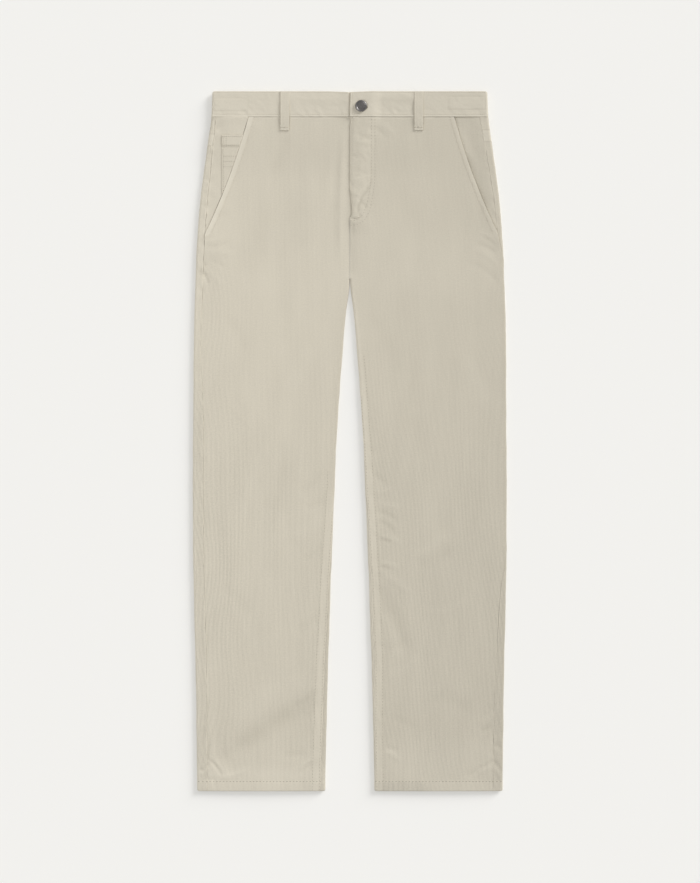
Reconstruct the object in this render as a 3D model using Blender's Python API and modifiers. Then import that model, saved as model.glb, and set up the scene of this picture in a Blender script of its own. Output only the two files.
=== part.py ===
"""Straight-leg trousers in fine corduroy, laid flat on their back with the front up.

Metres, +Z up. +X is the wearer's left, +Y runs from the hems to the waist, and Z = 0 is the
surface that the trousers lie on. The origin is below the middle of the garment. Each panel is the
sheet of its outer face, worked out from the outline and the fold, with Solidify as its cloth.
"""

import math
from collections import namedtuple

import bpy
import numpy as np

# Driving sizes. Heights run up from the hems, and widths run out from the centre line.
LENGTH = 1.0300
WAIST_SEAM = 0.9925
FORK = 0.7450
FLY_END = 0.8450
POCKET_END = 0.8200
CLOTH = 0.0011
BAND_CLOTH = 0.0024
LOOP_CLOTH = 0.0018
GAP = 0.0003
LAYER = CLOTH + GAP

# The folded legs: how thick they lie, and how far the front swells between its folds.
FOLD_RADIUS = 0.0025
QUARTER = math.pi / 2 * FOLD_RADIUS
SWELL = 0.0010
SWELL_JOIN = 0.0800
SWELL_END = 0.8600
SWELL_FADE = 0.1000
CENTRE_VALLEY = 0.0008
VALLEY_REACH = 0.0070

# The waist lies higher, on the back belt loops.
LIFT = LOOP_CLOTH + GAP
LIFT_START = 0.9000
LIFT_END = 0.9620
BAND_STEP = 0.0006
BAND_RADIUS = FOLD_RADIUS + BAND_STEP / 2
BAND_LAP = BAND_CLOTH + GAP

# The fly: the left front laps over the right front.
FLY_UNDERLAP = 0.0100
FLY_FULL = 0.0140
FLY_REACH = 0.0380
FLY_BULK = 0.0010
FLY_FADE = 0.0240
FLY_FADE_END = 0.0040
BAND_UNDERLAP = 0.0300
BAND_LAP_FULL = 0.0330
BAND_LAP_REACH = 0.0560

# The slant pockets, and the coin pocket on the right one's facing.
POCKET_BOW = 0.0045
POCKET_FADE = 0.0280
FACING_TOP_REACH = 0.0260
FACING_END_REACH = 0.0520
FACING_SLOPE = 0.0250
COIN_OUTER = 0.1886
COIN_REACH = 0.0100
COIN_TOP = 0.9655
COIN_BOTTOM = 0.8690
COIN_EASE = 0.0120
COIN_SIDE_EASE = 0.0180
COIN_SIDE_ROOM = 0.0015

# Belt loops and button.
LOOP_WIDTH = 0.0138
LOOP_BOTTOM = 0.9725
LOOP_TOP = 1.0297
LOOP_SEWN = 0.0032
LOOP_RISE = 0.0011
BUTTON_ACROSS = 0.0165
BUTTON_HEIGHT = 1.0078
SHANK_RADIUS = 0.0016
EYE_RADIUS = 0.0022
SLOT_LENGTH = 0.0150
SLOT_WIDTH = 0.0012

RIGHT = -1
LEFT = 1
POCKET_TOP = {RIGHT: 0.1490, LEFT: 0.1535}
LOOP_FRONT = {RIGHT: 0.0956, LEFT: 0.1022}
LOOP_BACK = 0.1050

# The outline: the outer fold, and the inner fold of each leg below the fork.
Station = namedtuple("Station", "height outer inner")
OUTLINE = (
    Station(0.000, 0.2240, 0.0372),
    Station(0.135, 0.2256, 0.0345),
    Station(0.228, 0.2272, 0.0316),
    Station(0.323, 0.2296, 0.0285),
    Station(0.417, 0.2300, 0.0246),
    Station(0.511, 0.2300, 0.0208),
    Station(0.605, 0.2298, 0.0145),
    Station(0.699, 0.2286, 0.0066),
    Station(0.745, 0.2272, 0.0002),
    Station(0.790, 0.2254, 0.0002),
    Station(0.855, 0.2212, 0.0002),
    Station(0.949, 0.2095, 0.0002),
    Station(0.9925, 0.2036, 0.0002),
    Station(1.030, 0.2020, 0.0002),
)

# The seams: how far over the fold, on the front's side, each one lies. Below zero it is underneath.
Seam = namedtuple("Seam", "height right_out left_out right_in left_in")
SEAMS = (
    Seam(0.000, 0.0160, 0.0157, 0.0085, 0.0033),
    Seam(0.110, 0.0172, 0.0154, 0.0075, 0.0040),
    Seam(0.200, 0.0180, 0.0130, 0.0062, 0.0066),
    Seam(0.300, 0.0175, 0.0090, 0.0042, 0.0056),
    Seam(0.360, 0.0171, 0.0000, 0.0025, 0.0046),
    Seam(0.420, 0.0168, -0.0026, 0.0008, 0.0036),
    Seam(0.560, 0.0160, -0.0028, 0.0000, 0.0003),
    Seam(0.660, 0.0116, -0.0028, 0.0000, 0.0000),
    Seam(0.745, 0.0126, -0.0020, 0.0000, 0.0000),
    Seam(0.820, 0.0123, 0.0073, 0.0000, 0.0000),
    Seam(0.905, 0.0115, 0.0102, 0.0000, 0.0000),
    Seam(0.9925, 0.0079, 0.0143, 0.0000, 0.0000),
)

# Heights of the rows of points, which the panels share so that their seams run side by side.
LEG_ROWS = (0.0, 0.060, 0.130, 0.210, 0.290, 0.325, 0.346, 0.363, 0.385, 0.420, 0.530, 0.640, 0.705, 0.735)
FORK_ROWS = (FORK, FORK + 0.0004, FORK + 0.0012, FORK + 0.0026)
SEAT_ROWS = (0.770, 0.795, POCKET_END)
HIP_ROWS = (POCKET_END + 0.002, FLY_END - 0.0004, FLY_END + 0.0025, 0.866, 0.884, 0.903)
WAIST_ROWS = (0.922, 0.940, 0.958, 0.973, WAIST_SEAM - GAP / 2)
BAND_ROWS = (WAIST_SEAM + GAP / 2, 1.011, LENGTH)

# Where the columns of points lie: steps in from an edge, or shares of a stretch between edges.
INNER_STEPS = (0.0, 0.0004, 0.0017, 0.0040, 0.0110, 0.0300)
OUTER_STEPS = (0.0, 0.0004, 0.0020, 0.0043, 0.0115, 0.0300, 0.0560)
FOLD_SHARES = (0.0, 0.03, 0.30, 0.55, 0.70, 0.85, 1.0)


def smooth(value):
    """Rises from 0 to 1 with level ends."""
    value = min(max(value, 0.0), 1.0)
    return value * value * (3 - 2 * value)


def read(table, column, height):
    """A smooth curve through one column of a table, read at a height."""
    heights = np.array([row.height for row in table])
    values = np.array([getattr(row, column) for row in table])
    slopes = np.gradient(values, heights)
    place = int(np.clip(np.searchsorted(heights, height) - 1, 0, len(heights) - 2))
    span = heights[place + 1] - heights[place]
    t = (height - heights[place]) / span
    start = values[place] * (1 + 2 * t) * (1 - t) ** 2 + slopes[place] * span * t * (1 - t) ** 2
    end = values[place + 1] * t * t * (3 - 2 * t) - slopes[place + 1] * span * t * t * (1 - t)
    return float(start + end)


def outer_edge(height):
    return read(OUTLINE, "outer", height)


def inner_edge(height):
    if height >= FORK:
        return OUTLINE[-1].inner
    return max(read(OUTLINE, "inner", height), OUTLINE[-1].inner)


def seam(side, fold, height):
    """How far over the outer ('out') or inner ('in') fold a seam lies, on the front's side."""
    leg = "right" if side == RIGHT else "left"
    place = read(SEAMS, f"{leg}_{fold}", height)
    if fold == "in" and height > FORK:
        return centre_start()
    return place


def centre_start():
    """The ring place whose width is half a seam gap from the centre line."""
    return FOLD_RADIUS * math.acos(1 - GAP / 2 / FOLD_RADIUS)


def half_girth(height, radius=FOLD_RADIUS):
    """The length over the front from the inner fold, or the centre line, to the outer fold."""
    return outer_edge(height) - inner_edge(height) - 2 * radius + math.pi * radius


def lift(height):
    return LIFT * smooth((height - LIFT_START) / (LIFT_END - LIFT_START))


def swell(across, height):
    """How far the front stands above its folds, at a width measured from the centre line."""
    inner = inner_edge(height)
    share = min(max((across - inner) / (outer_edge(height) - inner), 0.0), 1.0)
    body = smooth((height - FORK) / SWELL_JOIN)
    shape = (1 - body) * math.sin(math.pi * share) + body * math.cos(math.pi / 2 * share)
    fade = 1 - smooth((height - SWELL_END) / SWELL_FADE)
    return SWELL * shape * fade


def saddle(across, height):
    """The depth that the cloth loses as it rolls over the fork, as half the leg's thickness."""
    reach = min(math.hypot(across, height - FORK), FOLD_RADIUS)
    return math.sqrt(max(FOLD_RADIUS**2 - (FOLD_RADIUS - reach) ** 2, 0.0))


def ring(height, place):
    """Width and height above the surface of the flattened leg's outer face, at a place along it.

    Places start at the inner fold's edge, run over the front to the outer fold's edge at one half
    girth, and come back underneath. Above the fork the inner fold is the centre line.
    """
    radius = FOLD_RADIUS
    half = half_girth(height)
    inner = inner_edge(height)
    outer = outer_edge(height)
    middle = lift(height) + radius
    above_fork = height > FORK
    if place > 2 * half + QUARTER:
        place -= 2 * half
    if place < QUARTER:
        turn = max(place, 0.0) / radius
        across = inner + radius * (1 - math.cos(turn)) + min(place, 0.0)
        rise = saddle(across, height) + swell(across, height) if above_fork else radius * math.sin(turn)
    elif place < half - QUARTER:
        across = inner + radius + place - QUARTER
        rise = saddle(across, height) if above_fork else radius
        rise += swell(across, height)
    elif place < half + QUARTER:
        turn = (place - half + QUARTER) / radius
        across = outer - radius + radius * math.sin(turn)
        rise = radius * math.cos(turn)
    elif place < 2 * half - QUARTER:
        across = outer - radius - (place - half - QUARTER)
        rise = -saddle(across, height) if above_fork else -radius
    else:
        turn = (place - 2 * half + QUARTER) / radius
        across = inner + radius * (1 - math.sin(turn))
        rise = -saddle(across, height) if above_fork else -radius * math.cos(turn)
    return across, middle + rise


def place_of(across, height):
    """The ring place on the front at a width from the centre line."""
    return across - inner_edge(height) - FOLD_RADIUS + QUARTER


def opening(side, height):
    """Width of the slant pocket's edge, which bows in towards the centre."""
    end_place = half_girth(POCKET_END) - seam(side, "out", POCKET_END) - GAP
    end = ring(POCKET_END, end_place)[0]
    share = (WAIST_SEAM - height) / (WAIST_SEAM - POCKET_END)
    return POCKET_TOP[side] + (end - POCKET_TOP[side]) * share - POCKET_BOW * 4 * share * (1 - share)


def facing_drop(side, across, height):
    """How far the facing lies below the leg's own level, to make room for the front over it."""
    edge = ring(height, half_girth(height) - seam(side, "out", height))[0]
    return LAYER * smooth((edge - across) / FACING_SLOPE)


def coin_inner(height):
    """The coin pocket's hidden side runs along the opening's edge, under the front."""
    return opening(RIGHT, height) - COIN_REACH


def coin_room(side, across, height):
    """1 where the front lies over the coin pocket, easing to 0 around it."""
    if side == LEFT:
        return 0.0
    inside = smooth((across - coin_inner(height) + COIN_SIDE_ROOM + COIN_SIDE_EASE) / COIN_SIDE_EASE)
    below = smooth((COIN_TOP + 2 * COIN_EASE - height) / COIN_EASE)
    above = smooth((height - COIN_BOTTOM + 2 * COIN_EASE) / COIN_EASE)
    return inside * below * above


def front_rise(side, across, height):
    """What lies under a front lifts it: the facing, the coin pocket and the fly's underlap."""
    pocket = smooth((height - POCKET_END + POCKET_FADE) / POCKET_FADE)
    rise = pocket * (LAYER - facing_drop(side, across, height))
    rise += LAYER * coin_room(side, across, height)
    fly = smooth((height - FLY_END + FLY_FADE + FLY_FADE_END) / FLY_FADE)
    if side == LEFT:
        bulk = LAYER + FLY_BULK * smooth((height - FLY_END) / (WAIST_SEAM - FLY_END))
        rise += fly * bulk * (1 - smooth((across - FLY_FULL) / (FLY_REACH - FLY_FULL)))
    rise -= (1 - fly) * CENTRE_VALLEY * math.exp(-((across / VALLEY_REACH) ** 2)) * (height > FORK)
    return rise


def point(side, across, height, level):
    return side * across, height - LENGTH / 2, level


def front_point(side, height, place):
    across, level = ring(height, place)
    return point(side, across, height, level + front_rise(side, across, height))


def inner_start(side, height):
    if height > FLY_END and side == RIGHT:
        return -FLY_UNDERLAP
    return seam(side, "in", height) + (GAP if height <= FORK else 0.0)


def front_end(side, height):
    if height >= POCKET_END:
        return place_of(opening(side, height), height)
    return half_girth(height) - seam(side, "out", height) - GAP


def front_places(side, height):
    """From the inseam, or the fly, to the outseam, or the pocket's edge."""
    start = inner_start(side, height)
    end = front_end(side, height)
    near = [start + step for step in INNER_STEPS]
    far = [end - step for step in reversed(OUTER_STEPS)]
    return near + [(near[-1] + far[0]) / 2] + far


def front_rows(side):
    heights = LEG_ROWS + FORK_ROWS + SEAT_ROWS + HIP_ROWS + WAIST_ROWS
    return [[front_point(side, height, place) for place in front_places(side, height)] for height in heights]


def back_places(side, height):
    """From the outseam on the front face, round the outer fold, underneath, to the inseam."""
    half = half_girth(height)
    out = half - seam(side, "out", height) + GAP
    under_start = half + QUARTER
    under_end = 2 * half - QUARTER
    inside = 2 * half + (-centre_start() if height > FORK else seam(side, "in", height) - GAP)
    round_outer = [out + (under_start - out) * share for share in FOLD_SHARES]
    beneath = [under_start + (under_end - under_start) * share for share in (0.3, 0.7)]
    round_inner = [inside - (inside - under_end) * share for share in reversed(FOLD_SHARES)]
    return round_outer + beneath + round_inner


def back_rows(side):
    heights = LEG_ROWS + FORK_ROWS + SEAT_ROWS + HIP_ROWS + WAIST_ROWS
    rows = []
    for height in heights:
        sections = [ring(height, place) for place in back_places(side, height)]
        rows.append([point(side, across, height, level) for across, level in sections])
    return rows


def facing_point(side, height, across):
    level = ring(height, place_of(across, height))[1]
    return point(side, across, height, level - facing_drop(side, across, height))


def facing_rows(side):
    rows = []
    for height in HIP_ROWS + WAIST_ROWS:
        share = (height - POCKET_END) / (WAIST_SEAM - POCKET_END)
        reach = FACING_END_REACH + (FACING_TOP_REACH - FACING_END_REACH) * share
        start = opening(side, height) - reach
        end = ring(height, half_girth(height) - seam(side, "out", height) - GAP / 2)[0]
        shares = np.linspace(0.0, 1.0, 11)
        rows.append([facing_point(side, height, start + (end - start) * s) for s in shares])
    return rows


def coin_rows():
    """The coin pocket follows its facing, one layer out."""
    rows = []
    for height in np.linspace(COIN_BOTTOM, COIN_TOP, 6):
        widths = np.linspace(coin_inner(height), COIN_OUTER, 6)
        faces = [facing_point(RIGHT, height, across) for across in widths]
        rows.append([(x, y, level + LAYER) for x, y, level in faces])
    return rows


def band_lap(side, across):
    """The left end of the waistband lies on the right end."""
    if side == RIGHT:
        return 0.0
    return BAND_LAP * (1 - smooth((across - BAND_LAP_FULL) / (BAND_LAP_REACH - BAND_LAP_FULL)))


def band_section(side, height):
    """Width and level round one half of the waistband, from its front end to the centre back."""
    radius = BAND_RADIUS
    outer = outer_edge(height)
    start = -BAND_UNDERLAP if side == RIGHT else GAP / 2
    flat_end = outer - radius
    widths = np.concatenate([np.linspace(start, BAND_LAP_REACH, 8), np.linspace(0.09, flat_end, 4)])
    front = [(across, 2 * radius + band_lap(side, across)) for across in widths]
    turns = np.linspace(0, math.pi, 7)[1:]
    fold = [(flat_end + radius * math.sin(turn), radius + radius * math.cos(turn)) for turn in turns]
    back = [(across, 0.0) for across in (flat_end / 2, GAP / 2)]
    return front + fold + back


def band_rows(side):
    rows = []
    for height in BAND_ROWS:
        section = band_section(side, height)
        rows.append([point(side, across, height, LIFT + level) for across, level in section])
    return rows


def front_loop_rows(side):
    """A strip sewn to the front below the waistband and to the waistband's top edge."""
    across = LOOP_FRONT[side]
    panel = front_point(side, LOOP_BOTTOM, place_of(across, LOOP_BOTTOM))[2]
    band = LIFT + 2 * BAND_RADIUS
    path = (
        (LOOP_BOTTOM, panel + GAP),
        (LOOP_BOTTOM + LOOP_SEWN, panel + GAP),
        ((LOOP_BOTTOM + LOOP_SEWN + WAIST_SEAM) / 2, (panel + band + LOOP_RISE) / 2),
        (WAIST_SEAM, band + LOOP_RISE),
        ((WAIST_SEAM + LOOP_TOP) / 2, band + LOOP_RISE),
        (LOOP_TOP - 2 * LOOP_SEWN, band + LOOP_RISE),
        (LOOP_TOP - LOOP_SEWN, band + GAP),
        (LOOP_TOP, band + GAP),
    )
    ends = (across - LOOP_WIDTH / 2, across + LOOP_WIDTH / 2)
    return [[point(side, end, height, level + LOOP_CLOTH) for end in ends] for height, level in path]


def back_loop_rows(across):
    """A strip flat on the surface, under the waistband."""
    heights = (LOOP_BOTTOM, LOOP_TOP)
    ends = (across - LOOP_WIDTH / 2, across + LOOP_WIDTH / 2)
    return [[(end, height - LENGTH / 2, LOOP_CLOTH) for end in ends] for height in heights]


def new_collection(name):
    found = bpy.data.collections.new(name)
    bpy.context.scene.collection.children.link(found)
    return found


def finish(obj, collection, colour, roughness, metallic=0.0):
    """Puts an object in its collection with a material of its own."""
    for holder in list(obj.users_collection):
        holder.objects.unlink(obj)
    collection.objects.link(obj)
    material = bpy.data.materials.new(obj.name)
    material.use_nodes = True
    shader = material.node_tree.nodes["Principled BSDF"]
    shader.inputs["Base Color"].default_value = (*colour, 1.0)
    shader.inputs["Roughness"].default_value = roughness
    shader.inputs["Metallic"].default_value = metallic
    obj.data.materials.append(material)


def cloth_sheet(name, rows, thickness, collection, colour, side=LEFT):
    """Joins rows of outer-face points into one sheet and gives it its cloth, inwards."""
    count = len(rows[0])
    points = [p for row in rows for p in row]
    faces = [
        (r * count + c, r * count + c + 1, (r + 1) * count + c + 1, (r + 1) * count + c)
        for r in range(len(rows) - 1)
        for c in range(count - 1)
    ]
    if side == RIGHT:
        faces = [tuple(reversed(face)) for face in faces]
    mesh = bpy.data.meshes.new(name)
    mesh.from_pydata(points, [], faces)
    mesh.update()
    obj = bpy.data.objects.new(name, mesh)
    wall = obj.modifiers.new("cloth", "SOLIDIFY")
    wall.thickness = thickness
    wall.offset = -1.0
    wall.use_even_offset = True
    finish(obj, collection, colour, 0.9)
    mesh.shade_smooth()
    return obj


def button_profile():
    """Radius and height of the metal button, from the middle of its face down to its shank's end."""
    return (
        (0.0, 0.0022),
        (0.0060, 0.0022),
        (0.0066, 0.0029),
        (0.0076, 0.0030),
        (0.0085, 0.0024),
        (0.0086, 0.0016),
        (0.0078, 0.0008),
        (0.0026, GAP),
        (SHANK_RADIUS, 0.0),
        (SHANK_RADIUS, -BAND_CLOTH),
        (0.0, -BAND_CLOTH),
    )


def add_button(collection):
    points = [(radius, 0.0, level) for radius, level in button_profile()]
    edges = [(i, i + 1) for i in range(len(points) - 1)]
    mesh = bpy.data.meshes.new("button")
    mesh.from_pydata(points, edges, [])
    obj = bpy.data.objects.new("button", mesh)
    obj.location = (BUTTON_ACROSS, BUTTON_HEIGHT - LENGTH / 2, LIFT + 2 * BAND_RADIUS + BAND_LAP)
    turn = obj.modifiers.new("turned", "SCREW")
    turn.steps = 28
    turn.render_steps = 28
    turn.use_merge_vertices = True
    turn.merge_threshold = 0.00005
    turn.use_smooth_shade = True
    finish(obj, collection, (0.16, 0.15, 0.14), 0.35, 1.0)


def cut_buttonhole(band, cutters):
    """A keyhole through the left end of the waistband: a round eye at the shank, and a slot."""
    level = LIFT + 2 * BAND_RADIUS + BAND_LAP - BAND_CLOTH / 2
    depth = BAND_CLOTH + GAP
    middle = (BUTTON_ACROSS, BUTTON_HEIGHT - LENGTH / 2, level)
    bpy.ops.mesh.primitive_cylinder_add(vertices=16, radius=EYE_RADIUS, depth=depth, location=middle)
    eye = bpy.context.object
    eye.name = "buttonhole_eye"
    slot_middle = (BUTTON_ACROSS + SLOT_LENGTH / 2, middle[1], level)
    bpy.ops.mesh.primitive_cube_add(size=1.0, location=slot_middle)
    slot = bpy.context.object
    slot.name = "buttonhole_slot"
    slot.scale = (SLOT_LENGTH, SLOT_WIDTH, depth)
    for cutter in (eye, slot):
        for holder in list(cutter.users_collection):
            holder.objects.unlink(cutter)
        cutters.objects.link(cutter)
        cutter.hide_render = True
        cutter.display_type = "WIRE"
        cut = band.modifiers.new(cutter.name, "BOOLEAN")
        cut.operation = "DIFFERENCE"
        cut.object = cutter


def build():
    for obj in list(bpy.data.objects):
        bpy.data.objects.remove(obj)
    trousers = new_collection("corduroy_trousers")
    cutters = new_collection("cutters")
    beige = (0.60, 0.56, 0.46)
    inside_beige = (0.55, 0.51, 0.42)

    bands = {}
    for side, word in ((RIGHT, "right"), (LEFT, "left")):
        cloth_sheet(f"back_{word}", back_rows(side), CLOTH, trousers, beige, side)
        cloth_sheet(f"pocket_facing_{word}", facing_rows(side), CLOTH, trousers, inside_beige, side)
        cloth_sheet(f"front_{word}", front_rows(side), CLOTH, trousers, beige, side)
        bands[side] = cloth_sheet(f"waistband_{word}", band_rows(side), BAND_CLOTH, trousers, beige, side)
        cloth_sheet(f"belt_loop_front_{word}", front_loop_rows(side), LOOP_CLOTH, trousers, beige, side)
        cloth_sheet(f"belt_loop_back_{word}", back_loop_rows(side * LOOP_BACK), LOOP_CLOTH, trousers, beige)
    cloth_sheet("belt_loop_back_centre", back_loop_rows(0.0), LOOP_CLOTH, trousers, beige)
    cloth_sheet("coin_pocket", coin_rows(), CLOTH, trousers, beige, RIGHT)
    cut_buttonhole(bands[LEFT], cutters)
    add_button(trousers)


build()
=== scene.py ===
import math
from collections import namedtuple

import bpy
import numpy as np
from mathutils import Matrix, Vector


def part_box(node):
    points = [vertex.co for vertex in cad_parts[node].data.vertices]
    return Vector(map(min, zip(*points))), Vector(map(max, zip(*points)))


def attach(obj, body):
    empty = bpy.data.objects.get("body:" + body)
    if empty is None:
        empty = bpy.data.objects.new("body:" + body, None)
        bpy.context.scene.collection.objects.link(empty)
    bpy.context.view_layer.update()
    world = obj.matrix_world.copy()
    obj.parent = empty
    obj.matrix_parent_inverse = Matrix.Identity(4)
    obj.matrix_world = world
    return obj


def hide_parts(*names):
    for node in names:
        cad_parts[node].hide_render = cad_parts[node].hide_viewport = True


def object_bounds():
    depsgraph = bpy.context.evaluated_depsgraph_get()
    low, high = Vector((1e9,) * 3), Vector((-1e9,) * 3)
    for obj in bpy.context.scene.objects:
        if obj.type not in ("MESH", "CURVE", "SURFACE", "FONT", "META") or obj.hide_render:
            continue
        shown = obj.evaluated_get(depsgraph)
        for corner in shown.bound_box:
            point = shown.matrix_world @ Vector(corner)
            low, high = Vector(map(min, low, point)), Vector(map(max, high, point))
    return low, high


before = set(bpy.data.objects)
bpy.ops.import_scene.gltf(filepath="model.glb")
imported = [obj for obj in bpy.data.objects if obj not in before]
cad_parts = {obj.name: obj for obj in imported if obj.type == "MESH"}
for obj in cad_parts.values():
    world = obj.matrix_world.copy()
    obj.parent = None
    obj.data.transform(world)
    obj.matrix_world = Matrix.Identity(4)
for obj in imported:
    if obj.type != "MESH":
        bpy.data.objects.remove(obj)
cad_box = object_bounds()

# The backs. Two long panels of fine corduroy, cut with the ribs down the leg and sewn to the fronts
# along the outseam and the inseam. Each one starts on the front face at the outseam, turns round the
# outer fold, lies underneath the whole leg and turns up round the inner fold.
RIGHT = -1
LEFT = 1
WORDS = {RIGHT: "right", LEFT: "left"}
LENGTH = cad_box[1].y - cad_box[0].y
WAIST_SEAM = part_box("waistband_left")[0].y + LENGTH / 2
FORK = 0.7535
FLY_END = 0.8450
POCKET_END = 0.8200
CLOTH = 0.0011
LAYER = 0.0014
FOLD_RADIUS = 0.0025
QUARTER = math.pi / 2 * FOLD_RADIUS
SEAM_GAP = 0.00001
SWELL = 0.0010
LIFT = 0.0021
EDGE_WAVER = 0.0003
SEWN_LIP = 0.00026
WAIST_LIP = 0.00012
FOLDED_LIP = 0.0010
CORNER = 0.0024
RIB = 0.00184
WAIST_LIFT_START = 0.9000
WAIST_LIFT_RUN = 0.0620
SWELL_JOIN = 0.0800
SWELL_END = 0.8600
SWELL_FADE = 0.1000

Station = namedtuple("Station", "height outer inner")
OUTLINE = (
    Station(0.000, 0.2249, 0.0363),
    Station(0.135, 0.2265, 0.0336),
    Station(0.228, 0.2282, 0.0307),
    Station(0.323, 0.2306, 0.0276),
    Station(0.417, 0.2311, 0.0238),
    Station(0.511, 0.2311, 0.0200),
    Station(0.605, 0.2304, 0.0139),
    Station(0.699, 0.2291, 0.0061),
    Station(0.7535, 0.2274, 0.0002),
    Station(0.790, 0.2259, 0.0002),
    Station(0.855, 0.2217, 0.0002),
    Station(0.949, 0.2098, 0.0002),
    Station(0.9925, 0.2039, 0.0002),
    Station(1.030, 0.2022, 0.0002),
)

# How far over the fold, on the front's side, each seam lies. Below zero it is underneath.
Seam = namedtuple("Seam", "height right_out left_out right_in left_in")
SEAMS = (
    Seam(0.000, 0.0160, 0.0157, 0.0085, 0.0033),
    Seam(0.110, 0.0172, 0.0154, 0.0075, 0.0040),
    Seam(0.200, 0.0180, 0.0130, 0.0062, 0.0066),
    Seam(0.300, 0.0175, 0.0090, 0.0042, 0.0056),
    Seam(0.360, 0.0171, 0.0000, 0.0025, 0.0046),
    Seam(0.420, 0.0168, -0.0026, 0.0008, 0.0036),
    Seam(0.560, 0.0160, -0.0028, 0.0000, 0.0003),
    Seam(0.660, 0.0116, -0.0028, 0.0000, 0.0000),
    Seam(0.745, 0.0126, -0.0020, 0.0000, 0.0000),
    Seam(0.820, 0.0123, 0.0073, 0.0000, 0.0000),
    Seam(0.905, 0.0115, 0.0102, 0.0000, 0.0000),
    Seam(0.9925, 0.0079, 0.0143, 0.0000, 0.0000),
)

EDGE_STEPS = np.array((0.0, 0.00012, 0.0004, 0.0008, 0.0013, 0.0020, 0.0030))
FINE = 0.0015
COARSE = 0.0040


def smooth(value):
    """Rises from 0 to 1 with level ends."""
    value = np.clip(value, 0.0, 1.0)
    return value * value * (3 - 2 * value)


def bell(distance, reach):
    """1 on a line, falling away on both sides of it."""
    return np.exp(-((distance / reach) ** 2))


def read(table, column, height):
    """A smooth curve through one column of a table, read at a height."""
    heights = np.array([row.height for row in table])
    values = np.array([getattr(row, column) for row in table])
    slopes = np.gradient(values, heights)
    low = np.clip(np.searchsorted(heights, height) - 1, 0, len(heights) - 2)
    span = heights[low + 1] - heights[low]
    t = (height - heights[low]) / span
    start = values[low] * (1 + 2 * t) * (1 - t) ** 2 + slopes[low] * span * t * (1 - t) ** 2
    end = values[low + 1] * t * t * (3 - 2 * t) - slopes[low + 1] * span * t * t * (1 - t)
    return start + end


def ripple(along, pitch, seed):
    """Uneven bumps along a line, between -1 and 1, about one to each pitch."""
    bumps = np.random.default_rng(seed).uniform(-1, 1, 997)
    place = along / pitch + 400
    low = np.floor(place).astype(int)
    t = smooth(place - low)
    return bumps[low % 997] * (1 - t) + bumps[(low + 1) % 997] * t


def mottle(across, along, wide, long, seed):
    """Uneven bumps over a surface, between -1 and 1, each about wide by long."""
    bumps = np.random.default_rng(seed).uniform(-1, 1, (211, 211))
    u, v = across / wide + 100, along / long + 100
    low_u, low_v = np.floor(u).astype(int), np.floor(v).astype(int)
    t, s = smooth(u - low_u), smooth(v - low_v)
    near = bumps[low_u % 211, low_v % 211] * (1 - t) + bumps[(low_u + 1) % 211, low_v % 211] * t
    far = bumps[low_u % 211, (low_v + 1) % 211] * (1 - t)
    far = far + bumps[(low_u + 1) % 211, (low_v + 1) % 211] * t
    return near * (1 - s) + far * s


def corner(height):
    """How far the outline is rounded off at the hems and at the top of the waist."""
    near = np.clip(1 - np.minimum(height, LENGTH - height) / CORNER, 0.0, 0.97)
    return CORNER * (1 - np.sqrt(1 - near * near))


def outer_edge(height):
    return read(OUTLINE, "outer", height) + EDGE_WAVER * ripple(height, 0.024, 3) - corner(height)


def inner_edge(height):
    edge = read(OUTLINE, "inner", height) + EDGE_WAVER * ripple(height, 0.021, 4) + corner(height)
    return np.where(height >= FORK, OUTLINE[-1].inner, np.maximum(edge, OUTLINE[-1].inner))


def centre_start():
    """Where the cloth starts beside the centre line, half a seam's gap from it."""
    return FOLD_RADIUS * math.acos(1 - SEAM_GAP / FOLD_RADIUS)


def seam_place(side, fold, height):
    """How far over the outer or inner fold a seam lies, brought to the centre line at the fork."""
    place = read(SEAMS, f"{WORDS[side]}_{fold}", height)
    centred = smooth((height - FORK + 0.014) / 0.014) * (fold == "in")
    return place + (centre_start() - place) * centred


def half_girth(height):
    """The length over the front from the inner fold, or the centre line, to the outer fold."""
    return outer_edge(height) - inner_edge(height) - 2 * FOLD_RADIUS + math.pi * FOLD_RADIUS


def lift(height):
    """The waist lies higher, on the belt loops underneath it."""
    return LIFT * smooth((height - WAIST_LIFT_START) / WAIST_LIFT_RUN)


def swell(across, height):
    """How far a leg's front swells between its folds, dying out towards the waist."""
    inner = inner_edge(height)
    share = np.clip((across - inner) / (outer_edge(height) - inner), 0.0, 1.0)
    body = smooth((height - FORK) / SWELL_JOIN)
    shape = (1 - body) * np.sin(math.pi * share) + body * np.cos(math.pi / 2 * share)
    return SWELL * shape * (1 - smooth((height - SWELL_END) / SWELL_FADE))


def saddle(across, height):
    """Half the leg's thickness over the fork, where the cloth rolls over from front to back."""
    reach = np.minimum(np.hypot(across, height - FORK), FOLD_RADIUS)
    return np.sqrt(np.maximum(FOLD_RADIUS**2 - (FOLD_RADIUS - reach) ** 2, 0.0))


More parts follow.
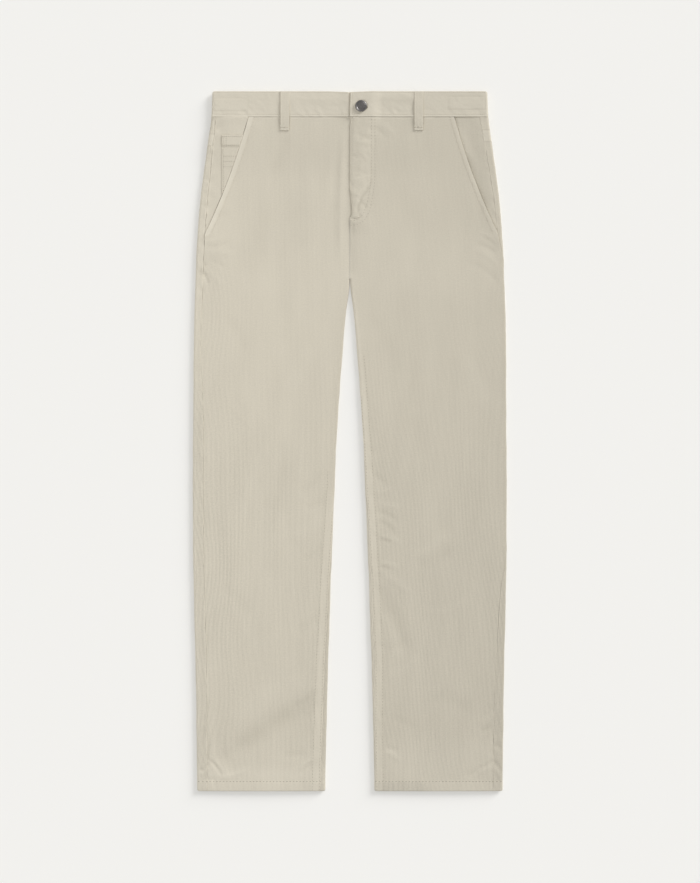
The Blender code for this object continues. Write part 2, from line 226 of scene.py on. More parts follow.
def ring(height, place):
    """A place round the flattened leg: its width, its level, and which way its face looks.

    Places start at the inner fold's edge, run over the front to the outer fold's edge at one half
    girth, and come back underneath. Above the fork the inner fold is the centre line.
    """
    radius = FOLD_RADIUS
    half, inner, outer = half_girth(height), inner_edge(height), outer_edge(height)
    above = height > FORK
    place = np.where(place > 2 * half + QUARTER, place - 2 * half, place)
    inner_turn = np.maximum(place, 0.0) / radius
    outer_turn = (place - half + QUARTER) / radius
    under_turn = (place - 2 * half + QUARTER) / radius
    before = (QUARTER, half - QUARTER, half + QUARTER, 2 * half - QUARTER)
    where = [place < limit for limit in before]
    across = np.select(
        where,
        [
            inner + radius * (1 - np.cos(inner_turn)) + np.minimum(place, 0.0),
            inner + radius + place - QUARTER,
            outer - radius + radius * np.sin(outer_turn),
            outer - radius - (place - half - QUARTER),
        ],
        inner + radius * (1 - np.sin(under_turn)),
    )
    depth = saddle(across, height)
    bulge = swell(across, height)
    rise = np.select(
        where,
        [
            np.where(above, depth + bulge, radius * np.sin(inner_turn)),
            np.where(above, depth, radius) + bulge,
            radius * np.cos(outer_turn),
            np.where(above, -depth, -radius),
        ],
        np.where(above, -depth, -radius * np.cos(under_turn)),
    )
    zero = np.zeros_like(across)
    out = np.select(
        where, [np.where(above, 0, -np.cos(inner_turn)), zero, np.sin(outer_turn), zero],
        np.where(above, 0, -np.sin(under_turn)),
    )
    up = np.select(
        where, [np.where(above, 1, np.sin(inner_turn)), zero + 1, np.cos(outer_turn), zero - 1],
        np.where(above, -1, -np.cos(under_turn)),
    )
    return across, lift(height) + radius + rise, out, up


def drape(x, height):
    """The slow rise and fall of cloth laid down by hand, the same for every layer in one place."""
    slow = 0.00042 * mottle(x, height, 0.060, 0.130, 11) + 0.00020 * mottle(x, height, 0.024, 0.060, 12)
    return slow * (1 - smooth((height - 0.940) / 0.040)) * smooth(height / 0.030)


def roll(distance, radius=SEWN_LIP):
    """A sewn or folded edge turns in, as a small quarter round."""
    share = np.clip(1 - distance / radius, 0.0, 1.0)
    return -radius * (1 - np.sqrt(1 - share * share))


HIP_GATHERS = {RIGHT: 0.00048, LEFT: 0.00012}


def seam_pucker(distance, height, seed, side=RIGHT):
    """The small gathers that a line of stitching draws up beside a seam."""
    gathers = ripple(height, 0.0085, seed) + 0.6 * ripple(height - 0.5 * distance, 0.0048, seed + 7)
    fuller = 0.00026 + HIP_GATHERS[side] * smooth((height - 0.72) / 0.05)
    return fuller * gathers * np.exp(-distance / 0.0050) * smooth(distance / 0.001)


def tight_hem(x):
    """Where the hem is drawn up most, along the inner half of the left leg."""
    return smooth(x / 0.03) * smooth((0.145 - x) / 0.05)


def hem_rope(x, height):
    """The slanting puckers of a turned-up band."""
    return ripple(x + 0.2 * height, 0.0052, 21) * smooth((HEM_STITCH + 0.002 - height) / 0.005)


def hem_relief(x, height):
    """The turned-up hem: a doubled band with its stitch line, roped slightly on the slant."""
    band = 0.00014 * smooth((HEM - height) / 0.0016)
    stitched = -0.00012 * bell(height - HEM_STITCH, 0.0009)
    rope = (0.00014 + 0.00006 * tight_hem(x)) * hem_rope(x, height)
    above = 0.00016 * ripple(x - 0.4 * height, 0.0080, 22) * bell(height - HEM_STITCH - 0.004, 0.006)
    return band + stitched + rope + above + roll(height, FOLDED_LIP)


def hem_fold(height):
    """1 in the turned-up hem, where the cloth is double, and 0 above it."""
    return smooth((HEM - height) / 0.0015)


def hem_tone_light_and_shade(x, height):
    """The doubled band is a little paler, and a little darker along its very bottom edge. Its line of
    stitching is darkened in broken dashes as painted shade, and painted light and shade follow its
    puckers.
    """
    broken = 0.7 + 0.5 * ripple(x, 0.010, 24)
    pale = 0.34 * smooth((HEM - height) / 0.0014) - 0.10 * bell(height, 0.0025)
    pale = pale + 0.40 * bell(height - 0.024, 0.011) * (x < 0)
    roped = (0.04 + 0.02 * tight_hem(x)) * hem_rope(x, height)
    return pale + roped - 0.06 * broken * bell(height - HEM_STITCH, 0.0008)


def rows_between(stops):
    """Heights of the rows of points: (height, step up to the next height) for each stretch."""
    rows = []
    for (low, step), (high, _) in zip(stops, stops[1:]):
        rows.append(np.linspace(low, high, max(2, math.ceil((high - low) / step) + 1))[:-1])
    return np.concatenate(rows + [[stops[-1][0]]])


HEM = 0.0162
HEM_STITCH = 0.0143
TOP_ROW = WAIST_SEAM - SEAM_GAP
PANEL_HEIGHTS = rows_between((
    (0.0, 0.00012), (0.0004, 0.0005), (0.0020, 0.0014), (0.0122, 0.0005), (0.0177, 0.0016),
    (0.0620, 0.0028), (FORK - 0.004, 0.0020), (FORK, 0.0004), (FORK + 0.0004, 0.0008),
    (FORK + 0.0012, 0.0014), (FORK + 0.0026, 0.0028), (0.8300, 0.0014), (0.9060, 0.0022),
    (0.9500, 0.0016), (TOP_ROW - 0.004, 0.0010), (TOP_ROW - 0.0008, 0.0003), (TOP_ROW, 0.0),
))


def columns(start, end, near, far, coarse=COARSE):
    """Places from start to end on every row, closer together within near and far of the ends."""
    first = np.concatenate([EDGE_STEPS, np.arange(EDGE_STEPS[-1] + FINE, near, FINE)])
    last = np.concatenate([EDGE_STEPS, np.arange(EDGE_STEPS[-1] + FINE, far, FINE)])
    widest = np.max(end - start) - first[-1] - last[-1]
    count = max(1, round(widest / coarse))
    shares = np.linspace(0, 1, count + 1)[1:-1]
    low, high = start + first[-1], end - last[-1]
    parts = [start[:, None] + first, low[:, None] + (high - low)[:, None] * shares]
    return np.concatenate(parts + [end[:, None] - last[::-1]], axis=1)


GRAIN_CENTRE = 0.1306
GRAIN_LEAN = {RIGHT: 0.004, LEFT: -0.031}

# Where the outseam draws the ribs aside: the height, the reach up and down, the reach inward, how far.
Pull = namedtuple("Pull", "height reach inward amount")
GRAIN_PULLS = (
    Pull(0.802, 0.036, 0.045, 0.0055), Pull(0.700, 0.045, 0.050, -0.0022),
    Pull(0.600, 0.060, 0.070, 0.0030), Pull(0.330, 0.070, 0.045, -0.0025),
    Pull(0.060, 0.045, 0.050, 0.0035),
)

# Where the cloth is eased or stretched across its ribs: the middle, how far it reaches, and how much.
Stretch = namedtuple("Stretch", "side width height reach rise amount")
STRETCHES = (
    Stretch(RIGHT, 0.192, 0.260, 0.024, 0.200, -0.080),
    Stretch(RIGHT, 0.110, 0.220, 0.034, 0.070, 0.070),
    Stretch(RIGHT, 0.128, 0.080, 0.050, 0.050, 0.040),
    Stretch(LEFT, 0.122, 0.400, 0.070, 0.110, -0.045),
    Stretch(LEFT, 0.120, 0.180, 0.055, 0.080, -0.045),
    Stretch(LEFT, 0.100, 0.050, 0.035, 0.060, -0.120),
)


def grain_of(side, width, height):
    """How far across the ribs a point lies: straight down the leg, drawn aside at the outseam."""
    edge = outer_edge(height)
    across = width - GRAIN_CENTRE + GRAIN_LEAN[side] * height
    for pull in GRAIN_PULLS:
        beside = bell(edge - width, pull.inward)
        across = across + pull.amount * bell(height - pull.height, pull.reach) * beside
    for stretch in (row for row in STRETCHES if row.side == side):
        share = np.tanh((width - stretch.width) / stretch.reach)
        near = bell(height - stretch.height, stretch.rise)
        across = across + stretch.amount * stretch.reach * share * near
    across = across + 0.0007 * mottle(side * width, height, 0.070, 0.110, 31)
    across = across + 0.0011 * mottle(side * width, height, 0.030, 0.250, 32)
    return side * across


def nap_of(side, width, height):
    """How clearly the ribs stand: brushed flat over the hips, crisp down the leg and the outseam."""
    low = 0.32 + 0.66 * smooth((0.74 - height) / 0.30)
    if side == RIGHT:
        beside = bell(outer_edge(height) - width - 0.028, 0.034)
        crisp = 0.40 * beside * smooth((0.83 - height) / 0.05)
    else:
        crisp = 0.10 * smooth((0.40 - height) / 0.16)
    in_band = smooth((HEM_STITCH + 0.001 - height) / 0.003)
    crisp = crisp + (0.10 + 1.20 * tight_hem(side * width)) * in_band
    patchy = 0.16 * mottle(side * width, height, 0.030, 0.140, 35)
    return low + crisp + patchy + 0.10 * mottle(side * width, height, 0.009, 0.080, 36)


def edge_light_and_shade(side, width, height):
    """Painted light round the folds that turn from the light, painted shade round the lit ones, and a
    little darker over the legs below the hips.
    """
    from_out, from_in = outer_edge(height) - width, width - inner_edge(height)
    leg = smooth((FORK - height) / 0.05)
    below_hip = smooth((0.76 - height) / 0.05) * smooth((height - 0.05) / 0.05)
    if side == RIGHT:
        tone = 0.20 * bell(from_out, 0.036) + 0.70 * bell(from_out, 0.0032)
        tone = tone - 0.16 * bell(from_in, 0.0034) * leg - 0.05 * bell(from_in, 0.009) * leg
        tone = tone - 0.05 * bell(from_in, 0.006) * smooth((0.34 - height) / 0.12)
        tone = tone - 0.030 * below_hip
    else:
        tone = 1.00 * bell(from_in, 0.0036) * leg - 0.26 * bell(from_out, 0.0036)
        tone = tone - 0.060 * below_hip
    return tone * smooth((0.985 - height) / 0.10)


def add_object(name, data):
    obj = bpy.data.objects.new(name, data)
    bpy.context.scene.collection.objects.link(obj)
    return obj


def made_mesh(obj):
    """What an object's modifiers make of it, as a mesh of its own."""
    evaluated = obj.evaluated_get(bpy.context.evaluated_depsgraph_get())
    return bpy.data.meshes.new_from_object(evaluated)


def row_lengths(rows):
    return np.linalg.norm(rows, axis=1, keepdims=True)


# How a shell's bake map is shared out: the outer face, the inner face, then eight narrow edge strips.
OUTER_SHARE = 0.62
INNER_END = 0.90
STRIP_START = 0.912
STRIP_SPACING = 0.022
STRIP_WIDTH = 0.008
MAP_MARGIN = 0.008
EDGE_ROUND = 0.28


def cloth_shell(name, points, grain, wear_light_and_shade, thickness, side=LEFT):
    """Closes a grid of outer-face points into a wall of cloth with softly rounded edges.

    The bake map gives most of its width to the outer face. The inner face and the two halves of each
    of the four edges have narrower areas of their own, and none overlap.
    """
    rows, cols = points.shape[:2]
    along = np.gradient(points, axis=0)
    over = np.gradient(points, axis=1)
    normal = np.cross(over, along) * side
    normal /= np.maximum(np.linalg.norm(normal, axis=2, keepdims=True), 1e-12)
    wall = np.broadcast_to(np.asarray(thickness, float), (rows, cols))[..., None]
    inside = points - normal * wall
    inside[..., 1] = np.clip(inside[..., 1], points[..., 1].min(), points[..., 1].max())
    inside[..., 2] = np.maximum(inside[..., 2], 0.0)

    ids = np.arange(rows * cols).reshape(rows, cols)
    loop = np.concatenate([ids[0, :-1], ids[:-1, -1], ids[-1, :0:-1], ids[:0:-1, 0]])
    outward = np.zeros_like(points)
    outward[0] -= along[0] / row_lengths(along[0])
    outward[-1] += along[-1] / row_lengths(along[-1])
    outward[:, 0] -= over[:, 0] / np.maximum(row_lengths(over[:, 0]), 1e-9)
    outward[:, -1] += over[:, -1] / np.maximum(row_lengths(over[:, -1]), 1e-9)
    middle = ((points + inside) / 2 + outward * wall * EDGE_ROUND).reshape(-1, 3)[loop]
    middle[:, 2] = np.maximum(middle[:, 2], 0.0)

    count = rows * cols
    vertices = np.concatenate([points.reshape(-1, 3), inside.reshape(-1, 3), middle])
    quads = np.stack([ids[:-1, :-1], ids[:-1, 1:], ids[1:, 1:], ids[1:, :-1]], axis=-1).reshape(-1, 4)
    ring_ids = 2 * count + np.arange(len(loop))
    nxt, ring_next = np.roll(loop, -1), np.roll(ring_ids, -1)
    upper = np.stack([loop, ring_ids, ring_next, nxt], axis=-1)
    lower = np.stack([ring_ids, loop + count, nxt + count, ring_next], axis=-1)
    faces = np.concatenate([quads, quads[:, ::-1] + count, upper, lower])
    if side == RIGHT:
        faces = faces[:, ::-1]

    mesh = bpy.data.meshes.new(name)
    mesh.from_pydata(vertices.tolist(), [], faces.tolist())
    mesh.update()
    obj = add_object(name, mesh)
    grain_all = np.concatenate([grain.reshape(-1, 3)] * 2 + [grain.reshape(-1, 3)[loop]])
    layer = mesh.attributes.new("grain", "FLOAT_VECTOR", "POINT")
    layer.data.foreach_set("vector", grain_all.astype(np.float32).ravel())
    wear_light_and_shade_all = np.concatenate([wear_light_and_shade.ravel(), wear_light_and_shade.ravel() * 0, wear_light_and_shade.ravel()[loop]])
    layer = mesh.attributes.new("wear_light_and_shade", "FLOAT", "POINT")
    layer.data.foreach_set("value", wear_light_and_shade_all.astype(np.float32))

    steps_over = np.linalg.norm(np.diff(points, axis=1), axis=2)
    widths = np.concatenate([np.zeros((rows, 1)), np.cumsum(steps_over, 1)], 1)
    u = widths / widths[:, -1:]
    steps_up = np.linalg.norm(np.diff(points, axis=0), axis=2).mean(1)
    heights = np.concatenate([[0], np.cumsum(steps_up)])
    v = MAP_MARGIN + (1 - 2 * MAP_MARGIN) * heights / heights[-1]
    v = np.broadcast_to(v[:, None], (rows, cols))
    outer_uv = np.stack([MAP_MARGIN + (OUTER_SHARE - 2 * MAP_MARGIN) * u, v], -1).reshape(-1, 2)
    inner_left = OUTER_SHARE + MAP_MARGIN
    inner_uv = np.stack([inner_left + (INNER_END - inner_left) * u, v], -1).reshape(-1, 2)
    uv = np.concatenate([outer_uv[quads].reshape(-1, 2), inner_uv[quads[:, ::-1]].reshape(-1, 2)])
    corners = np.cumsum([0, cols - 1, rows - 1, cols - 1, rows - 1])
    strips = []
    for half in (0, 1):
        for lane in range(4):
            steps = np.linspace(MAP_MARGIN, 1 - MAP_MARGIN, corners[lane + 1] - corners[lane] + 1)
            left = STRIP_START + STRIP_SPACING * lane + STRIP_WIDTH * half
            low, high = steps[:-1], steps[1:]
            a, b = np.full_like(low, left), np.full_like(low, left + STRIP_WIDTH)
            strip = [np.stack(pair, 1) for pair in ((a, low), (b, low), (b, high), (a, high))]
            strips.append(np.stack(strip, 1).reshape(-1, 2))
    uv = np.concatenate([uv] + strips)
    if side == RIGHT:
        uv = uv.reshape(-1, 4, 2)[:, ::-1].reshape(-1, 2)
    layer = mesh.uv_layers.new(name="OFBake")
    layer.data.foreach_set("uv", uv.astype(np.float32).ravel())
    mesh.shade_smooth()
    return obj


def add_node(tree, kind, inputs=(), **settings):
    """One node, its settings, and its inputs: each a value or the socket that feeds it."""
    made = tree.nodes.new(kind)
    for name, value in settings.items():
        setattr(made, name, value)
    for key, value in dict(inputs).items():
        if isinstance(value, bpy.types.NodeSocket):
            tree.links.new(value, made.inputs[key])
        else:
            made.inputs[key].default_value = value
    return made


def maths(tree, operation, a, b=0.0, c=0.0):
    return add_node(tree, "ShaderNodeMath", {0: a, 1: b, 2: c}, operation=operation).outputs[0]


def blend_colours(tree, factor, a, b, how="MIX"):
    made = add_node(tree, "ShaderNodeMix", {0: factor, 6: a, 7: b}, data_type="RGBA", blend_type=how)
    return made.outputs[2]


def noise_on(tree, vector, scale, detail=2.0):
    stretched = add_node(tree, "ShaderNodeMapping", {"Vector": vector, "Scale": scale})
    made = add_node(
        tree, "ShaderNodeTexNoise",
        {"Vector": stretched.outputs[0], "Scale": 1.0, "Detail": detail, "Roughness": 0.55},
    )
    return made.outputs["Fac"]


def bump_on(tree, shader, height, strength, distance):
    bump = add_node(
        tree, "ShaderNodeBump", {"Height": height, "Strength": strength, "Distance": distance}
    )
    tree.links.new(bump.outputs[0], shader.inputs["Normal"])


def new_material(name, **settings):
    """A material with its node tree and its shader, the settings given by the inputs' names."""
    material = bpy.data.materials.new(name)
    material.use_nodes = True
    shader = material.node_tree.nodes["Principled BSDF"]
    for key, value in settings.items():
        shader.inputs[key.replace("_", " ")].default_value = value
    return material, material.node_tree, shader


BEIGE = (0.617, 0.570, 0.470, 1.0)
WORN_AND_LIT = (0.730, 0.680, 0.571, 1.0)
SHADE = (0.300, 0.270, 0.205, 1.0)
PILE_SHEEN = (0.96, 0.93, 0.86, 1.0)
RIB_WANDER = 0.00042
RIB_RELIEF = 0.00021
PILE_RELIEF = 0.00007
STREAK_RELIEF = 0.00005
VALLEY_SHARPNESS = 1.7
VALLEY_TONE = -0.26


def corduroy(name):
    """Fine corduroy: rounded ribs of cut pile, darker between them, brushed along their length."""
    material, tree, shader = new_material(name, Roughness=0.92, Sheen_Weight=0.30, Sheen_Roughness=0.45)
    shader.inputs["Specular IOR Level"].default_value = 0.20
    shader.inputs["Sheen Tint"].default_value = PILE_SHEEN
    grain = add_node(tree, "ShaderNodeAttribute", attribute_name="grain").outputs["Vector"]
    wear_light_and_shade = add_node(tree, "ShaderNodeAttribute", attribute_name="wear_light_and_shade").outputs["Fac"]
    parts = add_node(tree, "ShaderNodeSeparateXYZ", {0: grain}).outputs
    across, nap = parts[0], parts[2]
    wander = noise_on(tree, grain, (260.0, 60.0, 0.0))
    across = maths(tree, "MULTIPLY_ADD", wander, RIB_WANDER, across)
    turns = maths(tree, "MULTIPLY", across, math.pi / RIB)
    rib = maths(tree, "ABSOLUTE", maths(tree, "SINE", turns))
    valley = maths(tree, "POWER", maths(tree, "SUBTRACT", 1.0, rib), VALLEY_SHARPNESS)
    pile = noise_on(tree, grain, (2600.0, 900.0, 0.0), 3.0)
    streak = noise_on(tree, grain, (420.0, 9.0, 0.0))
    weft = noise_on(tree, grain, (430.0, 460.0, 0.0))
    broad = noise_on(tree, grain, (46.0, 11.0, 0.0), 3.0)
    cloudy = noise_on(tree, grain, (13.0, 7.0, 0.0), 3.0)

    tone = maths(tree, "MULTIPLY_ADD", nap, 0.001, 1.046)
    # The cloth is darker in the valleys between the ribs, partly as painted shade.
    tone = maths(tree, "MULTIPLY_ADD", valley, maths(tree, "MULTIPLY", nap, VALLEY_TONE), tone)
    streaky = maths(tree, "MULTIPLY", nap, 0.09)
    uneven = maths(tree, "MULTIPLY_ADD", nap, 0.08, 0.145)
    patterns = ((pile, 0.22), (streak, streaky), (weft, uneven), (broad, 0.07), (cloudy, 0.07))
    for pattern, amount in patterns:
        tone = maths(tree, "MULTIPLY_ADD", maths(tree, "SUBTRACT", pattern, 0.5), amount, tone)
    shades = add_node(tree, "ShaderNodeCombineColor", {0: tone, 1: tone, 2: tone}).outputs[0]
    base = blend_colours(tree, 1.0, BEIGE, shades, "MULTIPLY")
    # Above zero the cloth's attribute makes it paler, in places of its own and where light is painted
    # on; below zero it makes it darker, mostly as painted shade.
    rubbed_and_lit = maths(tree, "MULTIPLY", maths(tree, "MAXIMUM", wear_light_and_shade, 0.0), 0.55)
    base = blend_colours(tree, rubbed_and_lit, base, WORN_AND_LIT)
    darkened_and_shaded = maths(tree, "MAXIMUM", maths(tree, "MULTIPLY", wear_light_and_shade, -1.0), 0.0)
    base = blend_colours(tree, maths(tree, "MULTIPLY", darkened_and_shaded, 0.8), base, SHADE)
    tree.links.new(base, shader.inputs["Base Color"])

    raised_rib = maths(tree, "MULTIPLY", nap, RIB_RELIEF)
    height = maths(tree, "MULTIPLY_ADD", pile, PILE_RELIEF, maths(tree, "MULTIPLY", rib, raised_rib))
    height = maths(tree, "MULTIPLY_ADD", streak, STREAK_RELIEF, height)
    bump_on(tree, shader, height, 0.8, 1.0)
    return material


MAIN_CORDUROY = corduroy("fine_corduroy")


def dress(obj, node):
    """Gives a finished sheet its cloth, hangs it on the root body, and hides the solid it stands for."""
    obj.data.materials.append(MAIN_CORDUROY)
    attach(obj, "root")
    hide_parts(node)


def seam_highlight_and_shade(distance, height, seed):
    """Painted highlight on the ridge beside a seam, and painted shade in the seam itself, in dashes."""
    patchy = 0.55 + 0.45 * ripple(height, 0.010, seed)
    ridge = distance - 0.0011 - 0.0006 * ripple(height, 0.008, seed + 1)
    dashes = 0.30 + 0.70 * smooth(ripple(height, 0.0065, seed + 2) * 2 + 0.2)
    return 0.60 * patchy * bell(ridge, 0.0008) - 0.48 * dashes * bell(distance, 0.0006)


OUTSEAM_LIP = {RIGHT: 0.00026, LEFT: 0.00010}


def outseam_highlight_and_shade(side, distance, height, seed):
    """Painted highlight and shade along the outseam and its gathers: strong beside the right hip, and
    slight down the left leg.
    """
    if side == RIGHT:
        strength = 0.9 + 0.9 * smooth((height - 0.70) / 0.08)
    else:
        strength = 0.12 + 0.10 * smooth((height - 0.80) / 0.04)
    gathers = ripple(height - 0.5 * distance, 0.0075, seed + 4) * np.exp(-distance / 0.0065)
    gathered = 0.26 * gathers * smooth(distance / 0.0008)
    return strength * (seam_highlight_and_shade(distance, height, seed) + gathered)


# Creases in millimetres: from a point to a point, how far it bows to its left, how wide and how deep it
# is. A trough has a negative depth and a ridge a positive one.
Crease = namedtuple("Crease", "x height end_x end_height bow width depth")
# How much of each crease is painted into the cloth's colour: painted shade along the troughs and painted
# light along the ridges.
CREASE_LIGHT_AND_SHADE = 140.0
CREASES = (
    Crease(-209, 47, -188, 21, 2.5, 2.0, -0.66), Crease(-206, 52, -186, 26, 2.5, 2.8, 0.28),
    Crease(-207, 40, -224, 30, 2.0, 3.0, -0.55), Crease(-206, 35, -223, 24, 2.0, 2.6, 0.50),
    Crease(-209, 70, -209, 44, 0.0, 1.2, -0.60), Crease(-196, 18, -216, 19, 1.0, 3.0, -0.50),
    Crease(-190, 62, -172, 24, 2.0, 8.0, -0.55), Crease(-193, 21, -150, 34, -4.0, 4.0, 0.50),
    Crease(-62, 55, -98, 51, 0.0, 6.0, -0.50), Crease(-56, 47, -76, 31, -1.5, 2.6, 0.60),
    Crease(-58, 39, -72, 24, -1.0, 2.2, -0.55), Crease(-68, 134, -49, 144, 1.0, 4.0, -0.45),
    Crease(-48, 131, -176, 50, -7.0, 14.0, -1.15), Crease(-62, 164, -182, 90, -7.0, 15.0, 0.50),
    Crease(-49, 135, -84, 125, -1.0, 4.5, -0.45), Crease(-49, 127, -62, 121, 0.0, 3.5, -0.35),
    Crease(-52, 118, -66, 110, 0.0, 3.5, -0.30), Crease(-150, 78, -196, 36, -3.0, 12.0, -0.55),
    Crease(-179, 568, -145, 531, -1.5, 1.1, -0.18), Crease(-168, 578, -154, 558, 0.0, 1.1, -0.14),
    Crease(-211, 801, -178, 810, -3.0, 2.6, -0.50), Crease(-211, 808, -186, 818, -2.0, 2.6, 0.35),
    Crease(-210, 792, -170, 788, 3.0, 4.0, 0.40), Crease(-211, 783, -184, 769, 2.0, 3.0, -0.45),
    Crease(-212, 766, -190, 744, 3.0, 4.0, 0.30), Crease(-214, 764, -208, 746, 0.0, 1.8, -0.90),
    Crease(-224, 768, -213, 757, 0.0, 4.0, -0.80), Crease(-222, 786, -215, 776, 0.0, 3.0, -0.50),
    Crease(-210, 815.5, -200, 815.0, 0.0, 1.2, -0.50), Crease(-224, 742, -216, 732, 0.0, 3.5, -0.45),
    Crease(-186, 700, -152, 640, 5.0, 9.0, -0.35), Crease(-60, 655, -96, 585, 4.0, 11.0, 0.40),
    Crease(-40, 470, -74, 440, 3.0, 7.0, -0.50), Crease(-38, 428, -66, 418, 2.0, 5.0, -0.45),
    Crease(-40, 404, -84, 372, 4.0, 8.0, 0.45), Crease(-42, 360, -70, 338, 2.0, 5.0, -0.40),
    Crease(-100, 520, -118, 400, 6.0, 13.0, -0.35), Crease(-150, 470, -176, 380, 5.0, 10.0, 0.35),
    Crease(-44, 262, -80, 236, 3.0, 7.0, -0.35), Crease(-190, 300, -150, 262, 4.0, 8.0, -0.35),
    Crease(-10.0, 970, -14.5, 788, -1.0, 5.2, 0.75), Crease(-19.0, 955, -24.0, 800, -1.0, 6.0, -0.30),
    Crease(-26, 950, -40, 850, 2.0, 8.0, 0.30), Crease(-92, 968, -120, 905, 4.0, 8.0, -0.35),
    Crease(-60, 930, -74, 800, 6.0, 13.0, 0.35), Crease(-120, 860, -140, 760, -5.0, 14.0, -0.40),
    Crease(4.5, 838, 4.5, 820, 0.0, 1.9, -0.45), Crease(1.0, 843.4, 8.0, 842.6, -0.4, 1.5, -0.80),
    Crease(14.4, 849.5, 15.6, 844.5, 0.0, 1.4, -0.60),
    Crease(32, 901, 26, 885, 0.8, 1.7, -0.45), Crease(27, 887, 17.0, 874.5, 0.8, 1.7, -0.60),
    Crease(17.8, 876, 12.3, 861, 0.6, 1.7, -0.60), Crease(12.4, 863, 11.2, 850, 0.2, 1.7, -0.50),
    Crease(24, 892, 13, 880, 0.8, 2.0, 0.42), Crease(12.8, 880, 7.6, 862, 0.6, 2.0, 0.35),
    Crease(2.5, 936, 11.5, 931.5, 0.6, 1.8, -0.42), Crease(3, 930, 13, 926, 0.6, 2.0, 0.30),
    Crease(9, 940, 24, 924, 1.5, 2.4, -0.30), Crease(8, 918, 26, 908, -1.5, 2.4, -0.32),
    Crease(7, 900, 22, 902, 1.0, 2.2, 0.30), Crease(10, 966, 27, 958, 1.0, 2.6, -0.28),
    Crease(14, 868, 26, 858, 0.6, 1.8, -0.35), Crease(12, 852, 22, 848, 0.0, 1.8, 0.30),
    Crease(34, 978, 54, 961, 1.5, 3.2, -0.40), Crease(42, 984, 66, 966, 2.0, 4.0, 0.30),
    Crease(70, 940, 84, 840, -6.0, 13.0, -0.14), Crease(112, 930, 128, 830, -5.0, 12.0, 0.14),
    Crease(196, 817, 214, 804, 0.8, 2.0, -0.32), Crease(190, 823, 213, 811, 0.8, 2.0, 0.28),
    Crease(188, 806, 215, 792, 1.5, 2.6, -0.35), Crease(180, 798, 216, 776, 3.0, 4.0, 0.35),
    Crease(176, 778, 218, 748, 4.0, 5.0, -0.35), Crease(30, 700, 70, 610, 5.0, 12.0, -0.30),
    Crease(168, 640, 196, 560, 4.0, 11.0, 0.35), Crease(92, 640, 108, 500, -8.0, 15.0, -0.35),
    Crease(34, 466, 52, 452, 1.0, 4.0, -0.50), Crease(36, 440, 60, 446, -2.0, 4.0, 0.40),
    Crease(40, 412, 70, 398, 2.0, 3.6, -0.55), Crease(42, 398, 66, 380, 2.0, 3.4, -0.45),
    Crease(42, 424, 74, 418, -1.0, 3.6, 0.40), Crease(42, 371, 60, 366, 0.5, 2.2, -0.50),
    Crease(43, 377, 74, 366, 1.0, 3.0, 0.40), Crease(44, 331, 58, 327, 0.3, 2.0, -0.50),
    Crease(44, 337, 72, 330, 1.0, 2.8, 0.38), Crease(40, 303, 82, 205, 3.0, 11.0, -0.62),
    Crease(52, 262, 72, 190, 2.0, 10.0, 0.45), Crease(47, 318, 86, 292, 3.0, 5.0, 0.40),
    Crease(96, 345, 144, 379, -3.0, 7.0, 0.50),
    Crease(100, 330, 150, 356, -3.0, 8.0, -0.35), Crease(116, 262, 170, 280, -4.0, 5.0, 0.30),
    Crease(50, 206, 84, 226, -3.0, 6.0, -0.40), Crease(56, 168, 100, 196, -3.0, 8.0, 0.35),
    Crease(210, 45, 190, 34, 2.0, 3.0, -0.50), Crease(193, 35, 172, 21, 1.0, 4.0, -0.62),
    Crease(209, 38, 190, 26, 1.0, 4.0, 0.40), Crease(210, 46, 226, 25, 1.0, 3.0, -0.60),
    Crease(212, 34, 222, 20, 0.0, 3.4, 0.36), Crease(208, 98, 193, 88, 1.0, 3.4, -0.80),
    Crease(206, 109, 190, 101, 1.0, 4.0, 0.40), Crease(213, 70, 224, 62, 0.0, 3.0, -0.50),
    Crease(50, 66, 72, 60, -1.0, 4.0, -0.45), Crease(50, 58, 74, 44, 2.0, 4.0, 0.40),
    Crease(60, 108, 96, 92, 2.0, 6.0, -0.35), Crease(120, 140, 176, 116, 5.0, 12.0, -0.40),
)


def creases(x, height, sharpness=0.0):
    """The folds and creases of the fronts, each fading out at both ends.

    With a sharpness the narrow ones count for more, as they do in the painted shade and light of the
    creases.
    """
    total = np.zeros(np.broadcast(x, height).shape)
    x, height = np.broadcast_to(x, total.shape), np.broadcast_to(height, total.shape)
    for crease in CREASES:
        from_x, from_height, to_x, to_height = (value / 1000 for value in crease[:4])
        bow, width, depth = (value / 1000 for value in crease[4:])
        run = math.hypot(to_x - from_x, to_height - from_height)
        along_x, along_height = (to_x - from_x) / run, (to_height - from_height) / run
        t = ((x - from_x) * along_x + (height - from_height) * along_height) / run
        off = (height - from_height) * along_x - (x - from_x) * along_height - bow * 4 * t * (1 - t)
        fade = smooth((t + 0.12) / 0.34) * smooth((1.12 - t) / 0.34)
        uneven = 1 + 0.25 * ripple(t * run, 0.017, 101)
        weight = 1 + sharpness * np.clip(0.005 / width - 1, 0, 2.4)
        total = total + weight * depth * uneven * fade * bell(off, width)
    return total


